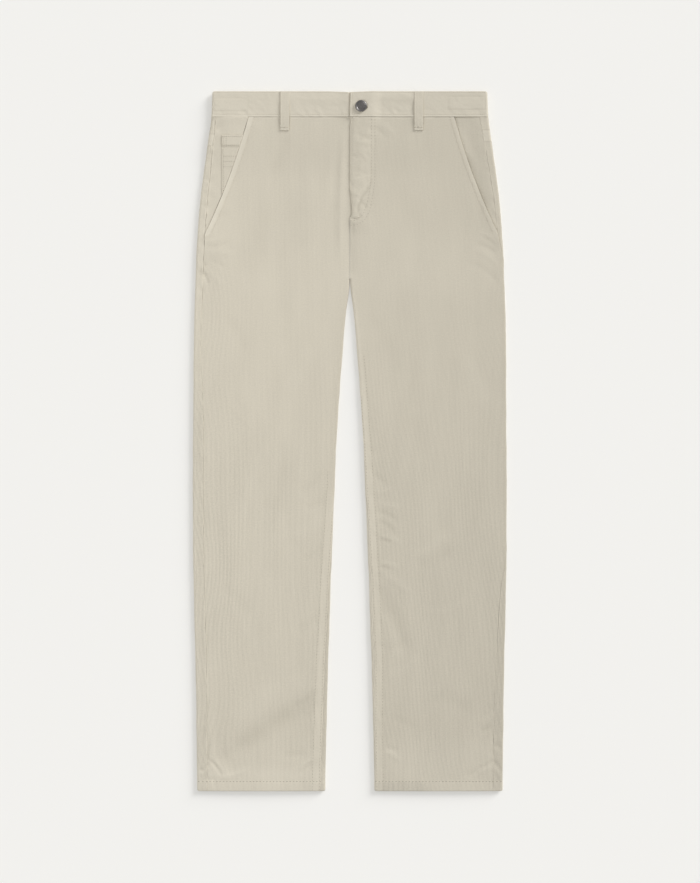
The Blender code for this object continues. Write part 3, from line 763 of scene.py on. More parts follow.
def back_relief(side, x, height, place, start, end, up):
    """Raised allowances beside the outseam, gathers, the hem, and soft creases pressed in beneath."""
    from_out, from_in = place - start, end - place
    bulk = 0.00022 if side == RIGHT else 0.00010
    allowance = bulk * bell(from_out - 0.0012, 0.0042) * (0.8 + 0.5 * ripple(height, 0.016, 41 + side))
    relief = allowance + roll(from_out, OUTSEAM_LIP[side]) + roll(from_in, 0.00012)
    relief = relief + hem_relief(x, height)
    relief = relief + seam_pucker(from_out, height, 43 + side, side) + roll(TOP_ROW - height, WAIST_LIP)
    relief = relief + (drape(x, height) + creases(x, height)) * np.clip(up, 0, 1)
    folds = 0.0005 * mottle(x, height, 0.045, 0.100, 51)
    folds = folds + 0.0004 * mottle(x + height, height, 0.020, 0.055, 52)
    beneath = -np.abs(folds) * smooth(height / 0.03) - 0.0002
    return np.where(up > 0, relief, np.minimum(relief, 0.0) + beneath * np.clip(-up, 0, 1))


# The ribs' lean on the backs, and a pale oblong with a darker rim on each outseam's strip, a little
# below
# the band: painted light and shade, though the cloth has no rise there.
BACK_GRAIN = {RIGHT: -0.036, LEFT: -0.012}
TACK_LOW = {RIGHT: 0.9500, LEFT: 0.9565}
TACK_LENGTH = 0.0165


def build_back(side):
    half = half_girth(PANEL_HEIGHTS)
    start = half - seam_place(side, "out", PANEL_HEIGHTS) + SEAM_GAP
    inseam = seam_place(side, "in", PANEL_HEIGHTS) - SEAM_GAP
    end = 2 * half + np.where(PANEL_HEIGHTS > FORK, -centre_start(), inseam)
    place = columns(start, end, 0.025, 0.016, 0.0080)
    height = np.broadcast_to(PANEL_HEIGHTS[:, None], place.shape)
    across, level, out, up = ring(height, place)
    relief = back_relief(side, side * across, height, place, start[:, None], end[:, None], up)
    x = side * (across + out * relief)
    points = np.stack([x, height - LENGTH / 2, level + up * relief], axis=-1)
    width = inner_edge(height) + FOLD_RADIUS + place - QUARTER
    nap = nap_of(side, width, height) + 0.40 * smooth((0.75 - height) / 0.20)
    slant = BACK_GRAIN[side] * height
    grain = np.stack([grain_of(side, width, height) + slant + 1.0, height + 0.3, nap], axis=-1)
    wear_light_and_shade = outseam_highlight_and_shade(side, place - start[:, None], height, 61 + side)
    wear_light_and_shade = wear_light_and_shade + hem_tone_light_and_shade(side * across, height)
    wear_light_and_shade = wear_light_and_shade + edge_light_and_shade(side, across, height)
    # Painted light and shade of a raised oblong: paler inside, darker round its rim.
    tack_inside = np.minimum(height - TACK_LOW[side], TACK_LOW[side] + TACK_LENGTH - height)
    outline = bell(tack_inside, 0.0008) - 0.6 * bell(tack_inside - 0.0022, 0.0008)
    wear_light_and_shade = wear_light_and_shade + (0.60 * smooth(tack_inside / 0.0015) - 0.30 * outline) * (up > 0)
    # Painted shade along the creases' troughs and painted light along their ridges, on the upper face.
    wear_light_and_shade = wear_light_and_shade + CREASE_LIGHT_AND_SHADE * creases(side * across, height, 1.0) * np.clip(up, 0, 1)
    wall = CLOTH * (1 + hem_fold(height))
    return cloth_shell(f"back_{WORDS[side]}_cloth", points, grain, wear_light_and_shade, wall, side)


for side in (RIGHT, LEFT):
    back = build_back(side)
    dress(back, f"back_{WORDS[side]}")


# The pocket facings. A piece of the same corduroy behind each slant pocket's opening, sewn into the
# outseam and the waist. It shows between the pocket's edge and the seam, and runs on under the front.
POCKET_TOP = {RIGHT: 0.1490, LEFT: 0.1535}
POCKET_BOW = 0.0045
FACING_TOP_REACH = 0.0260
FACING_END_REACH = 0.0520
FACING_SLOPE = 0.0250


def place_of(across, height):
    """The ring place on the front at a width from the centre line."""
    return across - inner_edge(height) - FOLD_RADIUS + QUARTER


def opening(side, height):
    """Width of the slant pocket's edge, which bows in towards the centre."""
    low = np.array([POCKET_END])
    end = ring(low, half_girth(low) - seam_place(side, "out", low) - SEAM_GAP)[0][0]
    share = (WAIST_SEAM - height) / (WAIST_SEAM - POCKET_END)
    bow = POCKET_BOW * 4 * share * (1 - share)
    return POCKET_TOP[side] + (end - POCKET_TOP[side]) * share - bow


def facing_drop(side, across, height):
    """How far the facing lies below the leg's own level, to make room for the front over it."""
    edge = ring(height, half_girth(height) - seam_place(side, "out", height))[0]
    return LAYER * smooth((edge - across) / FACING_SLOPE)


def facing_gather(side, across, height):
    """Past the opening the facing swells, and it rises to the waist seam, where it is sewn in."""
    start, wide = (0.0001, 0.0005) if side == RIGHT else (-0.0002, 0.0040)
    open_part = smooth((across - opening(side, height) - start) / wide)
    full = 1.22 if side == RIGHT else 0.20
    return open_part * (full + 0.45 * smooth((height - WAIST_SEAM + 0.014) / 0.012))


def facing_level(side, across, height):
    drop = facing_drop(side, across, height) * (1 - facing_gather(side, across, height))
    return ring(height, place_of(across, height))[1] - drop


FACING_COLUMNS = np.concatenate([
    (0.005, 0.010, 0.016, 0.024, 0.036), np.linspace(0.05, 0.55, 22), np.linspace(0.57, 0.985, 30),
    (0.992, 0.9975, 1.0),
])


def build_facing(side):
    stops = ((POCKET_END + 0.001, 0.0028), (TOP_ROW - 0.004, 0.0010), (TOP_ROW, 0.0))
    heights = rows_between(stops)
    share = (heights - POCKET_END) / (WAIST_SEAM - POCKET_END)
    reach = FACING_END_REACH + (FACING_TOP_REACH - FACING_END_REACH) * share
    mouth = opening(side, heights)
    seam = half_girth(heights) - seam_place(side, "out", heights)
    end = ring(heights, seam - SEAM_GAP)[0]
    shown = mouth[:, None] + (end - mouth)[:, None] * FACING_COLUMNS
    across = np.concatenate([columns(mouth - reach, mouth, 0.005, 0.005), shown], axis=1)
    height = np.broadcast_to(heights[:, None], across.shape)
    from_out = end[:, None] - across
    relief = drape(side * across, height) + roll(from_out) + roll(TOP_ROW - height, WAIST_LIP)
    relief = relief + seam_pucker(from_out, height, 81 + side, side)
    relief = relief + 0.00022 * mottle(side * across + 0.4 * height, height, 0.011, 0.020, 83)
    level = facing_level(side, across, height) + relief
    points = np.stack([side * across, height - LENGTH / 2, level], axis=-1)
    grain = np.stack([grain_of(side, across, height) + 2.0, height + 0.7, 0.35 + 0 * height], axis=-1)
    hidden = smooth((opening(side, height) - across) / 0.004)
    wear_light_and_shade = outseam_highlight_and_shade(side, from_out, height, 85) * (1 - hidden) + (0.22 if side == RIGHT else -0.06)
    if side == RIGHT:
        # Painted light along the facing just past the pocket's edge.
        wear_light_and_shade = wear_light_and_shade + 0.25 * bell(across - opening(side, height) - 0.0008, 0.0012)
    else:
        # Painted shadow on the facing beside the pocket's edge, along the middle of the opening.
        beside = bell(across - opening(side, height), 0.0075)
        wear_light_and_shade = wear_light_and_shade - 0.34 * beside * smooth((height - 0.850) / 0.02) * smooth((0.945 - height) / 0.02)
    name = f"pocket_facing_{WORDS[side]}_cloth"
    return cloth_shell(name, points, grain, wear_light_and_shade, CLOTH, side)


for side in (RIGHT, LEFT):
    facing = build_facing(side)
    dress(facing, f"pocket_facing_{WORDS[side]}")


# The coin pocket. A small patch of corduroy stitched to the right facing, with a turned-down hem along
# its top. Its inner side runs parallel to the slant opening, hidden by the front.
COIN_OUTER = 0.1880
COIN_REACH = 0.0100
COIN_TOP = 0.9655
COIN_BOTTOM = 0.8690
COIN_HEM = 0.9490
COIN_EASE = 0.0120
COIN_SIDE_EASE = 0.0180
COIN_SIDE_ROOM = 0.0015
COIN_RISE = 0.0008
COIN_CLOTH = 0.0007


def coin_inner(height):
    """The coin pocket's hidden side, a little under the front."""
    return opening(RIGHT, height) - COIN_REACH


def coin_point(across, height):
    """A point of the coin pocket's face, with its hem, its edges and its lines of stitching."""
    level = facing_level(RIGHT, across, height) + COIN_RISE + drape(-across, height)
    level = level + 0.0004 * smooth((height - COIN_HEM) / 0.0010)
    level = level - 0.00026 * bell(height - COIN_HEM + 0.0006, 0.0010)
    level = level - 0.00018 * bell(COIN_TOP - 0.0030 - height, 0.0007)
    level = level - 0.00014 * bell(COIN_OUTER - 0.0018 - across, 0.0006)
    level = level + roll(COIN_OUTER - across, 0.00012) + roll(COIN_TOP - height, 0.00012)
    level = level + 0.00010 * mottle(across, height, 0.006, 0.006, 91)
    return np.stack([-across, height - LENGTH / 2, level], axis=-1)


coin_stops = ((COIN_BOTTOM, 0.0016), (COIN_TOP - 0.0021, 0.0005), (COIN_TOP, 0.0))
coin_heights = rows_between(coin_stops)
coin_start = coin_inner(coin_heights)
coin_end = np.full_like(coin_start, COIN_OUTER)
coin_across = columns(coin_start, coin_end, 0.0045, 0.0060, 0.0013)
coin_height = np.broadcast_to(coin_heights[:, None], coin_across.shape)
coin_points = coin_point(coin_across, coin_height)
coin_grain = np.stack([3.0 - coin_across, coin_height, 0.35 + 0 * coin_height], axis=-1)
from_side, from_top = COIN_OUTER - coin_across, COIN_TOP - coin_height
# The hem band is paler. The top edge and the outer side are painted lighter as painted highlight, and
# the hem's line darker as painted shade.
coin_tone_light_and_shade = 0.20 * smooth((coin_height - COIN_HEM) / 0.001) + 0.5 * bell(from_top - 0.0008, 0.0010)
coin_tone_light_and_shade = coin_tone_light_and_shade - 0.35 * bell(coin_height - COIN_HEM + 0.0006, 0.0010)
coin_tone_light_and_shade = coin_tone_light_and_shade + 0.10 * bell(from_side - 0.0008, 0.0008)
coin = cloth_shell("coin_pocket_cloth", coin_points, coin_grain, coin_tone_light_and_shade, COIN_CLOTH, RIGHT)
dress(coin, "coin_pocket")


# The fronts. The two long panels on top, from the inseam to the outseam, each cut away along its slant
# pocket. The left one laps over the right one at the fly, where a double line of stitching holds the
# facing beneath it. Along the inseam a felled seam lies on the front as a raised band.
BAND_LAP_FULL = 0.0310
BAND_LAP_REACH = 0.0480
FLY_UNDERLAP = 0.0100
FLY_FULL = 0.0140
FLY_REACH = 0.0380
FLY_BULK = 0.0010
CENTRE_VALLEY = 0.0008
VALLEY_REACH = 0.0070
POCKET_STITCH = {RIGHT: 0.0086, LEFT: 0.0062}
POCKET_BAND = {RIGHT: 0.00030, LEFT: 0.00010}
OUTSEAM_VALLEY = {RIGHT: 0.00024, LEFT: 0.00004}
FELL = {RIGHT: 0.0120, LEFT: 0.0112}
FELL_TOP = {RIGHT: 0.470, LEFT: 0.640}
FLY_EDGE_STITCH = 0.0028

# The fly's stitching runs straight down and sweeps in to the bottom of the opening.
FLY_OUTER = (
    (0.0369, 0.9925), (0.0370, 0.9400), (0.0367, 0.9020), (0.0338, 0.8780),
    (0.0292, 0.8560), (0.0208, 0.8400), (0.0090, 0.8335), (0.0020, 0.8328),
)
FLY_INNER = (
    (0.0317, 0.9925), (0.0317, 0.9400), (0.0313, 0.9030), (0.0282, 0.8805),
    (0.0240, 0.8605), (0.0170, 0.8462), (0.0080, 0.8402), (0.0020, 0.8396),
)

# The fly's edge wanders a little from the centre line and stands open at its lower end.
EdgeStop = namedtuple("EdgeStop", "height shift")
FLY_EDGE = (
    EdgeStop(0.8350, 0.0000), EdgeStop(0.8445, 0.0004), EdgeStop(0.8480, 0.0036),
    EdgeStop(0.8560, 0.0040), EdgeStop(0.8700, 0.0024), EdgeStop(0.8840, 0.0010),
    EdgeStop(0.8880, -0.0007), EdgeStop(0.8920, 0.0004), EdgeStop(0.9120, -0.0003),
    EdgeStop(0.9330, -0.0003), EdgeStop(0.9480, 0.0005), EdgeStop(0.9760, 0.0004),
    EdgeStop(0.9850, 0.0018), EdgeStop(0.9910, 0.0018), EdgeStop(0.9930, 0.0012),
)


def route(points, step):
    """A smooth line through points, as points one step apart."""
    points = np.asarray(points, float)
    padded = np.concatenate([[2 * points[0] - points[1]], points, [2 * points[-1] - points[-2]]])
    t = np.linspace(0, 1, 40, endpoint=False)[:, None]
    curve = []
    for before, start, end, after in zip(padded, padded[1:], padded[2:], padded[3:]):
        square = (2 * before - 5 * start + 4 * end - after) * t**2
        cube = (3 * start - before - 3 * end + after) * t**3
        curve.append(0.5 * (2 * start + (end - before) * t + square + cube))
    curve = np.concatenate(curve + [points[-1:]])
    lengths = np.concatenate([[0], np.cumsum(np.linalg.norm(np.diff(curve, axis=0), axis=1))])
    stops = np.linspace(0, lengths[-1], max(2, round(lengths[-1] / step) + 1))
    return np.stack([np.interp(stops, lengths, column) for column in curve.T], axis=1)


def line_distance(line, x, height):
    """How far points lie from a line of stitching."""
    best = np.full(x.shape, 1.0)
    for (ax, ay), (bx, by) in zip(line, line[1:]):
        dx, dy = bx - ax, by - ay
        t = np.clip(((x - ax) * dx + (height - ay) * dy) / (dx * dx + dy * dy), 0, 1)
        best = np.minimum(best, np.hypot(x - ax - t * dx, height - ay - t * dy))
    return best


fly_outer, fly_inner = route(FLY_OUTER, 0.0025), route(FLY_INNER, 0.0025)


def coin_room(side, across, height):
    """1 where the front lies over the coin pocket, easing to 0 around it."""
    inside = smooth((across - coin_inner(height) + COIN_SIDE_ROOM + COIN_SIDE_EASE) / COIN_SIDE_EASE)
    below = smooth((COIN_TOP + 2 * COIN_EASE - height) / COIN_EASE)
    above = smooth((height - COIN_BOTTOM + 2 * COIN_EASE) / COIN_EASE)
    return inside * below * above * (side == RIGHT)


def front_rise(side, across, height):
    """What lies under a front lifts it: the facing, the coin pocket and the fly's underlap."""
    pocket = smooth((height - POCKET_END + 0.028) / 0.028)
    rise = pocket * (LAYER - facing_drop(side, across, height))
    rise = rise + COIN_CLOTH * coin_room(side, across, height)
    fly = smooth((height - FLY_END + 0.028) / 0.024)
    if side == LEFT:
        bulk = LAYER + FLY_BULK * smooth((height - FLY_END) / (WAIST_SEAM - FLY_END))
        under_band = smooth((height - WAIST_SEAM + 0.045) / 0.045)
        full = FLY_FULL + (BAND_LAP_FULL - FLY_FULL) * under_band
        reach = FLY_REACH + (BAND_LAP_REACH - FLY_REACH) * under_band
        droop = (0.00025 + 0.9 * (bulk - LAYER)) * bell(across, 0.0036)
        rise = rise + fly * (bulk - droop) * (1 - smooth((across - full) / (reach - full)))
    valley = CENTRE_VALLEY * bell(across, VALLEY_REACH)
    return rise - (1 - fly) * valley * smooth((height - FORK) / 0.012)


def inner_start(side, height):
    """Where a front begins: the inseam, the crotch seam, or the fly."""
    start = seam_place(side, "in", height) + np.where(height <= FORK, SEAM_GAP, 0.0)
    if side == RIGHT:
        underlap = FLY_UNDERLAP * smooth((height - FLY_END) / 0.008)
        return np.where(height > FLY_END, start - underlap, start)
    return start + np.interp(height, [row.height for row in FLY_EDGE], [row.shift for row in FLY_EDGE])


def front_end(side, height):
    """Where a front ends: the outseam, or the slant pocket's edge."""
    pocket = place_of(opening(side, height), height)
    seam = half_girth(height) - seam_place(side, "out", height) - SEAM_GAP
    return np.where(height >= POCKET_END, pocket, seam)


def fly_cover(x, height):
    """1 on the left front inside the fly's stitching."""
    edge = np.interp(height, [y for _, y in FLY_OUTER[::-1]], [x for x, _ in FLY_OUTER[::-1]])
    return smooth((edge - 0.001 - x) / 0.003) * smooth((height - 0.834) / 0.003)


def front_relief(side, x, height, place):
    """Everything pressed or raised on a front: folds, seams, bands and lines of stitching."""
    from_in = place - inner_start(side, height)
    from_out = front_end(side, height) - place
    relief = drape(x, height) + creases(x, height) + hem_relief(x, height)
    relief = relief + roll(TOP_ROW - height, WAIST_LIP)
    lip = np.where(height < POCKET_END, OUTSEAM_LIP[side], SEWN_LIP)
    gathers = 0.00010 * bell(WAIST_SEAM - 0.004 - height, 0.004) * ripple(x, 0.009, 111)
    relief = relief + roll(from_out, lip) + gathers

    pocket = smooth((height - POCKET_END) / 0.012)
    banded = smooth((height - POCKET_END - 0.004) / 0.030)
    band = POCKET_BAND[side] * banded * smooth((POCKET_STITCH[side] - from_out + 0.0003) / 0.0026)
    band = band - 0.00006 * banded * bell(from_out - POCKET_STITCH[side] - 0.0002, 0.0007)
    band = band + 0.00014 * ripple(height, 0.0042, 113) * bell(from_out - 0.0035, 0.003)
    sunk = -OUTSEAM_VALLEY[side] * (0.8 + 0.5 * ripple(height, 0.019, 114))
    valley = sunk * bell(from_out, 0.0032)
    gathered = seam_pucker(from_out, height, 115 + side, side)
    relief = relief + pocket * band + (1 - pocket) * (valley + gathered)

    sewn = height < FLY_END if side == RIGHT else height > 0
    lip = 0.00008 + (SEWN_LIP - 0.00008) * smooth((height - 0.776) / 0.040)
    relief = relief + np.where(sewn, roll(from_in, lip), 0.0)
    felled = smooth((FELL_TOP[side] - height) / 0.090)
    fell = 0.00007 * smooth((FELL[side] - from_in) / 0.0030)
    fell = fell + seam_pucker(np.abs(from_in - FELL[side]), height, 119 + side) * (from_in > 0.004)
    gathered = seam_pucker(from_in, height, 123) * smooth((FORK - height) / 0.030)
    relief = relief + felled * fell + gathered

    if side == LEFT:
        near = (x < 0.060) & (height > 0.820)
        lines = np.zeros_like(relief)
        outer = line_distance(fly_outer, x[near], height[near])
        inner = line_distance(fly_inner, x[near], height[near])
        lines[near] = -0.00011 * (bell(outer, 0.0008) + bell(inner, 0.0008))
        relief = relief + lines
        ruffled = 0.00022 * mottle(x + 0.6 * height, height, 0.0070, 0.0062, 131)
        ruffled = ruffled + 0.00017 * mottle(x - 0.3 * height, height, 0.0038, 0.0034, 132)
        relief = relief + ruffled * fly_cover(x, height)
        relief = relief - 0.00012 * bell(from_in - FLY_EDGE_STITCH, 0.0007) * (height > FLY_END)
    return relief


def front_point(side, height, place):
    across, level, out, up = ring(height, place)
    relief = front_relief(side, side * across, height, place)
    level = level + front_rise(side, across, height) + up * relief
    return np.stack([side * (across + out * relief), height - LENGTH / 2, level], axis=-1)


def on_front(side, line):
    """The points of a line drawn on a front as widths and heights."""
    x, height = np.asarray(line, float).T
    return front_point(side, height, place_of(side * x, height))


POCKET_PALE_AND_LIT = {RIGHT: 0.95, LEFT: 0.34}


def build_front(side):
    fly_width = 0.046 if side == LEFT else 0.034
    start, end = inner_start(side, PANEL_HEIGHTS), front_end(side, PANEL_HEIGHTS)
    place = columns(start, end, fly_width, 0.030)
    height = np.broadcast_to(PANEL_HEIGHTS[:, None], place.shape)
    points = front_point(side, height, place)
    width = inner_edge(height) + FOLD_RADIUS + place - QUARTER
    nap = nap_of(side, width, height)
    from_in, from_out = place - inner_start(side, height), front_end(side, height) - place
    felled = smooth((FELL_TOP[side] - height) / 0.090)
    nap = nap - 0.40 * felled * smooth((FELL[side] - from_in) / 0.0015)
    grain = np.stack([grain_of(side, width, height) + 4.0 + side, height, nap], axis=-1)
    pocket = smooth((height - POCKET_END + 0.004) / 0.005)
    wear_light_and_shade = 0.55 * (1 - pocket) * outseam_highlight_and_shade(side, from_out, height, 141)
    wear_light_and_shade = wear_light_and_shade + 0.12 * (height < FLY_END) * seam_highlight_and_shade(from_in, height, 142)
    # The pocket's edge band is paler, and its very edge is painted lighter still, as painted highlight.
    edge = POCKET_PALE_AND_LIT[side] * smooth((POCKET_STITCH[side] - from_out - 0.0004) / 0.0032)
    edge = edge + 0.8 * POCKET_PALE_AND_LIT[side] * bell(from_out - 0.0007, 0.0009)
    wear_light_and_shade = wear_light_and_shade + pocket * edge + hem_tone_light_and_shade(side * width, height) + edge_light_and_shade(side, width, height)
    wear_light_and_shade = wear_light_and_shade + felled * 0.22 * smooth((FELL[side] + 0.001 - from_in) / 0.0030)
    # Painted shade along the creases' troughs and painted light along their ridges.
    wear_light_and_shade = wear_light_and_shade + CREASE_LIGHT_AND_SHADE * creases(side * width, height, 1.0)
    wear_light_and_shade = wear_light_and_shade + 0.18 * smooth((0.085 - height) / 0.05)
    x = side * width
    # Painted shade along the waist seam, most over the right front, and painted light on the strip just
    # below it, where the band casts its shadow.
    deep = 0.03 + 0.10 * smooth((-x - 0.006) / 0.006) * smooth((0.090 + x) / 0.006)
    wear_light_and_shade = wear_light_and_shade - deep * bell(TOP_ROW - height, 0.0009) + 1.50 * bell(TOP_ROW - height - 0.0014, 0.0010)
    # Painted shade along the crotch seam below the fly.
    crotch_seam_shade = 0.12 * smooth((height - 0.778) / 0.03) * smooth((FLY_END - height) / 0.010)
    wear_light_and_shade = wear_light_and_shade - crotch_seam_shade * bell(width, 0.0019)
    if side == LEFT:
        open_end = smooth((0.8900 - height) / 0.012)
        # Painted highlight along the fly's edge, and painted shade along it where it stands open at its
        # lower end.
        wear_light_and_shade = wear_light_and_shade + 0.60 * (1 - open_end) * bell(from_in - 0.0010, 0.0010) * (height > FLY_END)
        wear_light_and_shade = wear_light_and_shade - 0.30 * open_end * bell(from_in, 0.0026) * (height > FLY_END)
        # Painted shade over the left hip.
        wear_light_and_shade = wear_light_and_shade - 0.05 * smooth((height - 0.78) / 0.08)
    else:
        # Painted shade on the underlap beneath the fly's edge.
        wear_light_and_shade = wear_light_and_shade - 0.08 * smooth(-place / 0.0006) * (height > FLY_END)
    wall = CLOTH * (1 + hem_fold(height))
    return cloth_shell(f"front_{WORDS[side]}_cloth", points, grain, wear_light_and_shade, wall, side)


for side in (RIGHT, LEFT):
    front = build_front(side)
    dress(front, f"front_{WORDS[side]}")


# The waistband. A doubled strip of corduroy in two halves, from the button at the front round each side
# to the centre back, edge-stitched along both of its long edges. The left end laps over the right one,
# and a keyhole is cut in it for the button's shank.
BAND_CLOTH = 0.0024
BAND_RADIUS = 0.0028
BAND_LAP = 0.0027
BAND_UNDERLAP = 0.0300
BAND_LOW_STITCH = 0.9960
BAND_TOP_STITCH = 1.0282
BAND_END_STITCH = 0.0042

# An outline pressed through each side of the band: its inner, outer, bottom and top edges.
PATCHES = {RIGHT: (0.1506, 0.1995, 1.0008, 1.0196), LEFT: (0.1452, 0.1990, 1.0030, 1.0218)}


def inside_patch(side, across, height):
    """How far a point lies inside the pressed outline, and below zero outside it."""
    inner, outer, bottom, top = PATCHES[side]
    within = np.minimum(across - inner, outer - across)
    return np.minimum(within, np.minimum(height - bottom, top - height))


def band_lap(side, across):
    """The left end lies over the right one and eases down beyond it."""
    if side == RIGHT:
        return np.zeros_like(across)
    return BAND_LAP * (1 - smooth((across - BAND_LAP_FULL) / (BAND_LAP_REACH - BAND_LAP_FULL)))


def band_ridge(x, height):
    """A soft ridge along the band, pressed up by the seam allowances inside it; none at the button."""
    held = smooth((x + 0.004) / 0.004) * (1 - smooth((x - 0.026) / 0.020))
    reach = smooth((0.112 - np.abs(x)) / 0.020)
    middle = 1.0180 + 0.0030 * smooth(x / 0.05)
    uneven = 0.85 + 0.3 * ripple(x, 0.03, 150)
    return 0.0008 * reach * (1 - 0.9 * held) * uneven * bell(height - middle, 0.0075)


def band_relief(side, across, height):
    """Everything pressed or raised on the band: its edges, its puckers, and where its ends meet."""
    x = side * across
    low, high = height - WAIST_SEAM, LENGTH - height
    relief = band_ridge(x, height) + roll(low, 0.00012) + roll(high, 0.0006)
    relief = relief - 0.00006 * bell(height - BAND_LOW_STITCH, 0.0007)
    relief = relief + 0.00020 * bell(low - 0.0015, 0.0015)
    twist = ripple(x + 0.55 * height, 0.0052, 151) * bell(height - 1.000, 0.0065)
    twist = twist + 0.8 * ripple(x - 0.3 * height, 0.0070, 152) * bell(height - 1.0245, 0.0050)
    relief = relief + 0.00021 * twist + 0.00013 * mottle(x, height, 0.012, 0.010, 153)
    relief = relief + 0.00013 * mottle(x + 0.4 * height, height, 0.0048, 0.0044, 154)
    inside = inside_patch(side, across, height)
    relief = relief + 0.00014 * smooth(inside / 0.0014) - 0.00014 * bell(inside, 0.0012)
    if side == LEFT:
        return relief + roll(across, 0.0004) - 0.00012 * bell(across - BAND_END_STITCH, 0.0006)
    meeting = smooth((0.024 - across) / 0.022) * smooth((across - 0.0003) / 0.0011)
    return relief + 0.0010 * meeting


def band_point(side, height, along):
    """A point of the band's face, at a length round it from the centre line."""
    outer = outer_edge(height)
    flat_end = outer - BAND_RADIUS
    turn = np.clip((along - flat_end) / BAND_RADIUS, 0, math.pi)
    beneath = np.maximum(along - flat_end - math.pi * BAND_RADIUS, 0.0)
    across = np.minimum(along, flat_end) + BAND_RADIUS * np.sin(turn) - beneath
    up, out = np.cos(turn), np.sin(turn)
    level = BAND_RADIUS * (1 + up) + band_lap(side, across) * (up > 0)
    relief = band_relief(side, across, height)
    relief = np.where(beneath > 0, np.minimum(relief, 0.0) - 0.0001, relief * np.maximum(up, 0.3))
    up_band = smooth((height - WAIST_SEAM) / (LENGTH - WAIST_SEAM))
    dip = 0.0012 * bell(side * across - 0.0015, 0.022) * up_band
    level = LIFT + level + up * relief
    return np.stack([side * (across + out * relief), height - dip - LENGTH / 2, level], axis=-1)


def build_band(side):
    heights = rows_between((
        (WAIST_SEAM + SEAM_GAP, 0.00012), (WAIST_SEAM + 0.0004, 0.0004),
        (WAIST_SEAM + 0.0020, 0.0010), (LENGTH - 0.0060, 0.0008),
        (LENGTH - 0.0020, 0.0004), (LENGTH - 0.0004, 0.00012), (LENGTH, 0.0),
    ))
    slant = 0.0014 * (heights - WAIST_SEAM) / (LENGTH - WAIST_SEAM)
    start = SEAM_GAP + slant if side == LEFT else np.full_like(heights, -BAND_UNDERLAP)
    outer = outer_edge(heights)
    flat_end = outer - BAND_RADIUS
    end = flat_end + math.pi * BAND_RADIUS + flat_end - SEAM_GAP
    front = columns(start, flat_end, 0.034 if side == RIGHT else 0.012, 0.0035, 0.0019)
    turns = flat_end[:, None] + BAND_RADIUS * np.linspace(0, math.pi, 12)[1:-1]
    under = columns(flat_end + math.pi * BAND_RADIUS, end, 0.0035, 0.0035, 0.0055)
    along = np.concatenate([front, turns, under], axis=1)
    height = np.broadcast_to(heights[:, None], along.shape)
    points = band_point(side, height, along)
    grain = np.stack([height + 9.0 + side, side * along, 0.28 + 0 * height], axis=-1)
    low, high = height - WAIST_SEAM, LENGTH - height
    # Painted highlight along the band's rolled lower edge, just above the waist seam.
    wear_light_and_shade = 0.72 * bell(low - 0.0014, 0.0010) + 0.06 * bell(low, 0.0005)
    wear_light_and_shade = wear_light_and_shade + 0.60 * bell(high - 0.0024, 0.0018)
    # Painted shade in a soft strip across the band a little below its top, near the front.
    dip = 1.0140 + 0.0030 * smooth(side * along / 0.05)
    near_front = smooth((0.112 - np.abs(along)) / 0.020)
    wear_light_and_shade = wear_light_and_shade - 0.10 * bell(height - dip, 0.0042) * near_front + 0.48
    inside = inside_patch(side, along, height)
    # Painted light inside the pressed outline and painted shade along its edge.
    wear_light_and_shade = wear_light_and_shade + 0.09 * smooth(inside / 0.0014) - 0.45 * bell(inside, 0.0010)
    name = f"waistband_{WORDS[side]}_cloth"
    return cloth_shell(name, points, grain, wear_light_and_shade, BAND_CLOTH, side)


BUTTON_ACROSS = 0.0165
BUTTON_HEIGHT = 1.0078
bands = {side: build_band(side) for side in (RIGHT, LEFT)}

# The keyhole: a round eye at the shank and a slot running out to below the button's edge.
EYE_RADIUS = 0.0022
SLOT_LENGTH = 0.0086
SLOT_WIDTH = 0.0006
SLOT_DROP = 0.0016
CUTTER_DEPTH = 0.006
hole_level = LIFT + 2 * BAND_RADIUS + BAND_LAP - BAND_CLOTH / 2
eye_place = (BUTTON_ACROSS, BUTTON_HEIGHT - LENGTH / 2, hole_level)
bpy.ops.mesh.primitive_cylinder_add(
    vertices=20, radius=EYE_RADIUS, depth=CUTTER_DEPTH, location=eye_place
)
eye = bpy.context.object
slit_place = (BUTTON_ACROSS + SLOT_LENGTH / 2, BUTTON_HEIGHT - SLOT_DROP - LENGTH / 2, hole_level)
bpy.ops.mesh.primitive_cube_add(size=1.0, location=slit_place)
slit = bpy.context.object
slit.scale = (SLOT_LENGTH, SLOT_WIDTH, CUTTER_DEPTH)
for cutter in (eye, slit):
    cut = bands[LEFT].modifiers.new("keyhole", "BOOLEAN")
    cut.operation = "DIFFERENCE"
    cut.object = cutter
bpy.context.view_layer.update()
cut_mesh = made_mesh(bands[LEFT])
bands[LEFT].modifiers.clear()
bands[LEFT].data = cut_mesh
for cutter in (eye, slit):
    bpy.data.objects.remove(cutter)
for side in (RIGHT, LEFT):
    dress(bands[side], f"waistband_{WORDS[side]}")


# The belt loops. Folded strips of corduroy with two lines of stitching, tacked down at both ends: two in
# front, which stand a little off the band, and three at the back, flat under the waistband.
LOOP_CLOTH = 0.0014
LOOP_WIDTH = 0.0130
LOOP_BOTTOM = 0.9725
LOOP_TOP = 1.0297
LOOP_SEWN = 0.0032
LOOP_RISE = 0.0001
LOOP_LINE = 0.0040
LOOP_TACK = 0.0042
LOOP_EASE = 0.0040
LOOP_FRONT = {RIGHT: 0.0957, LEFT: 0.1014}
LOOP_BACK = 0.1050
LoopStop = namedtuple("LoopStop", "height level")


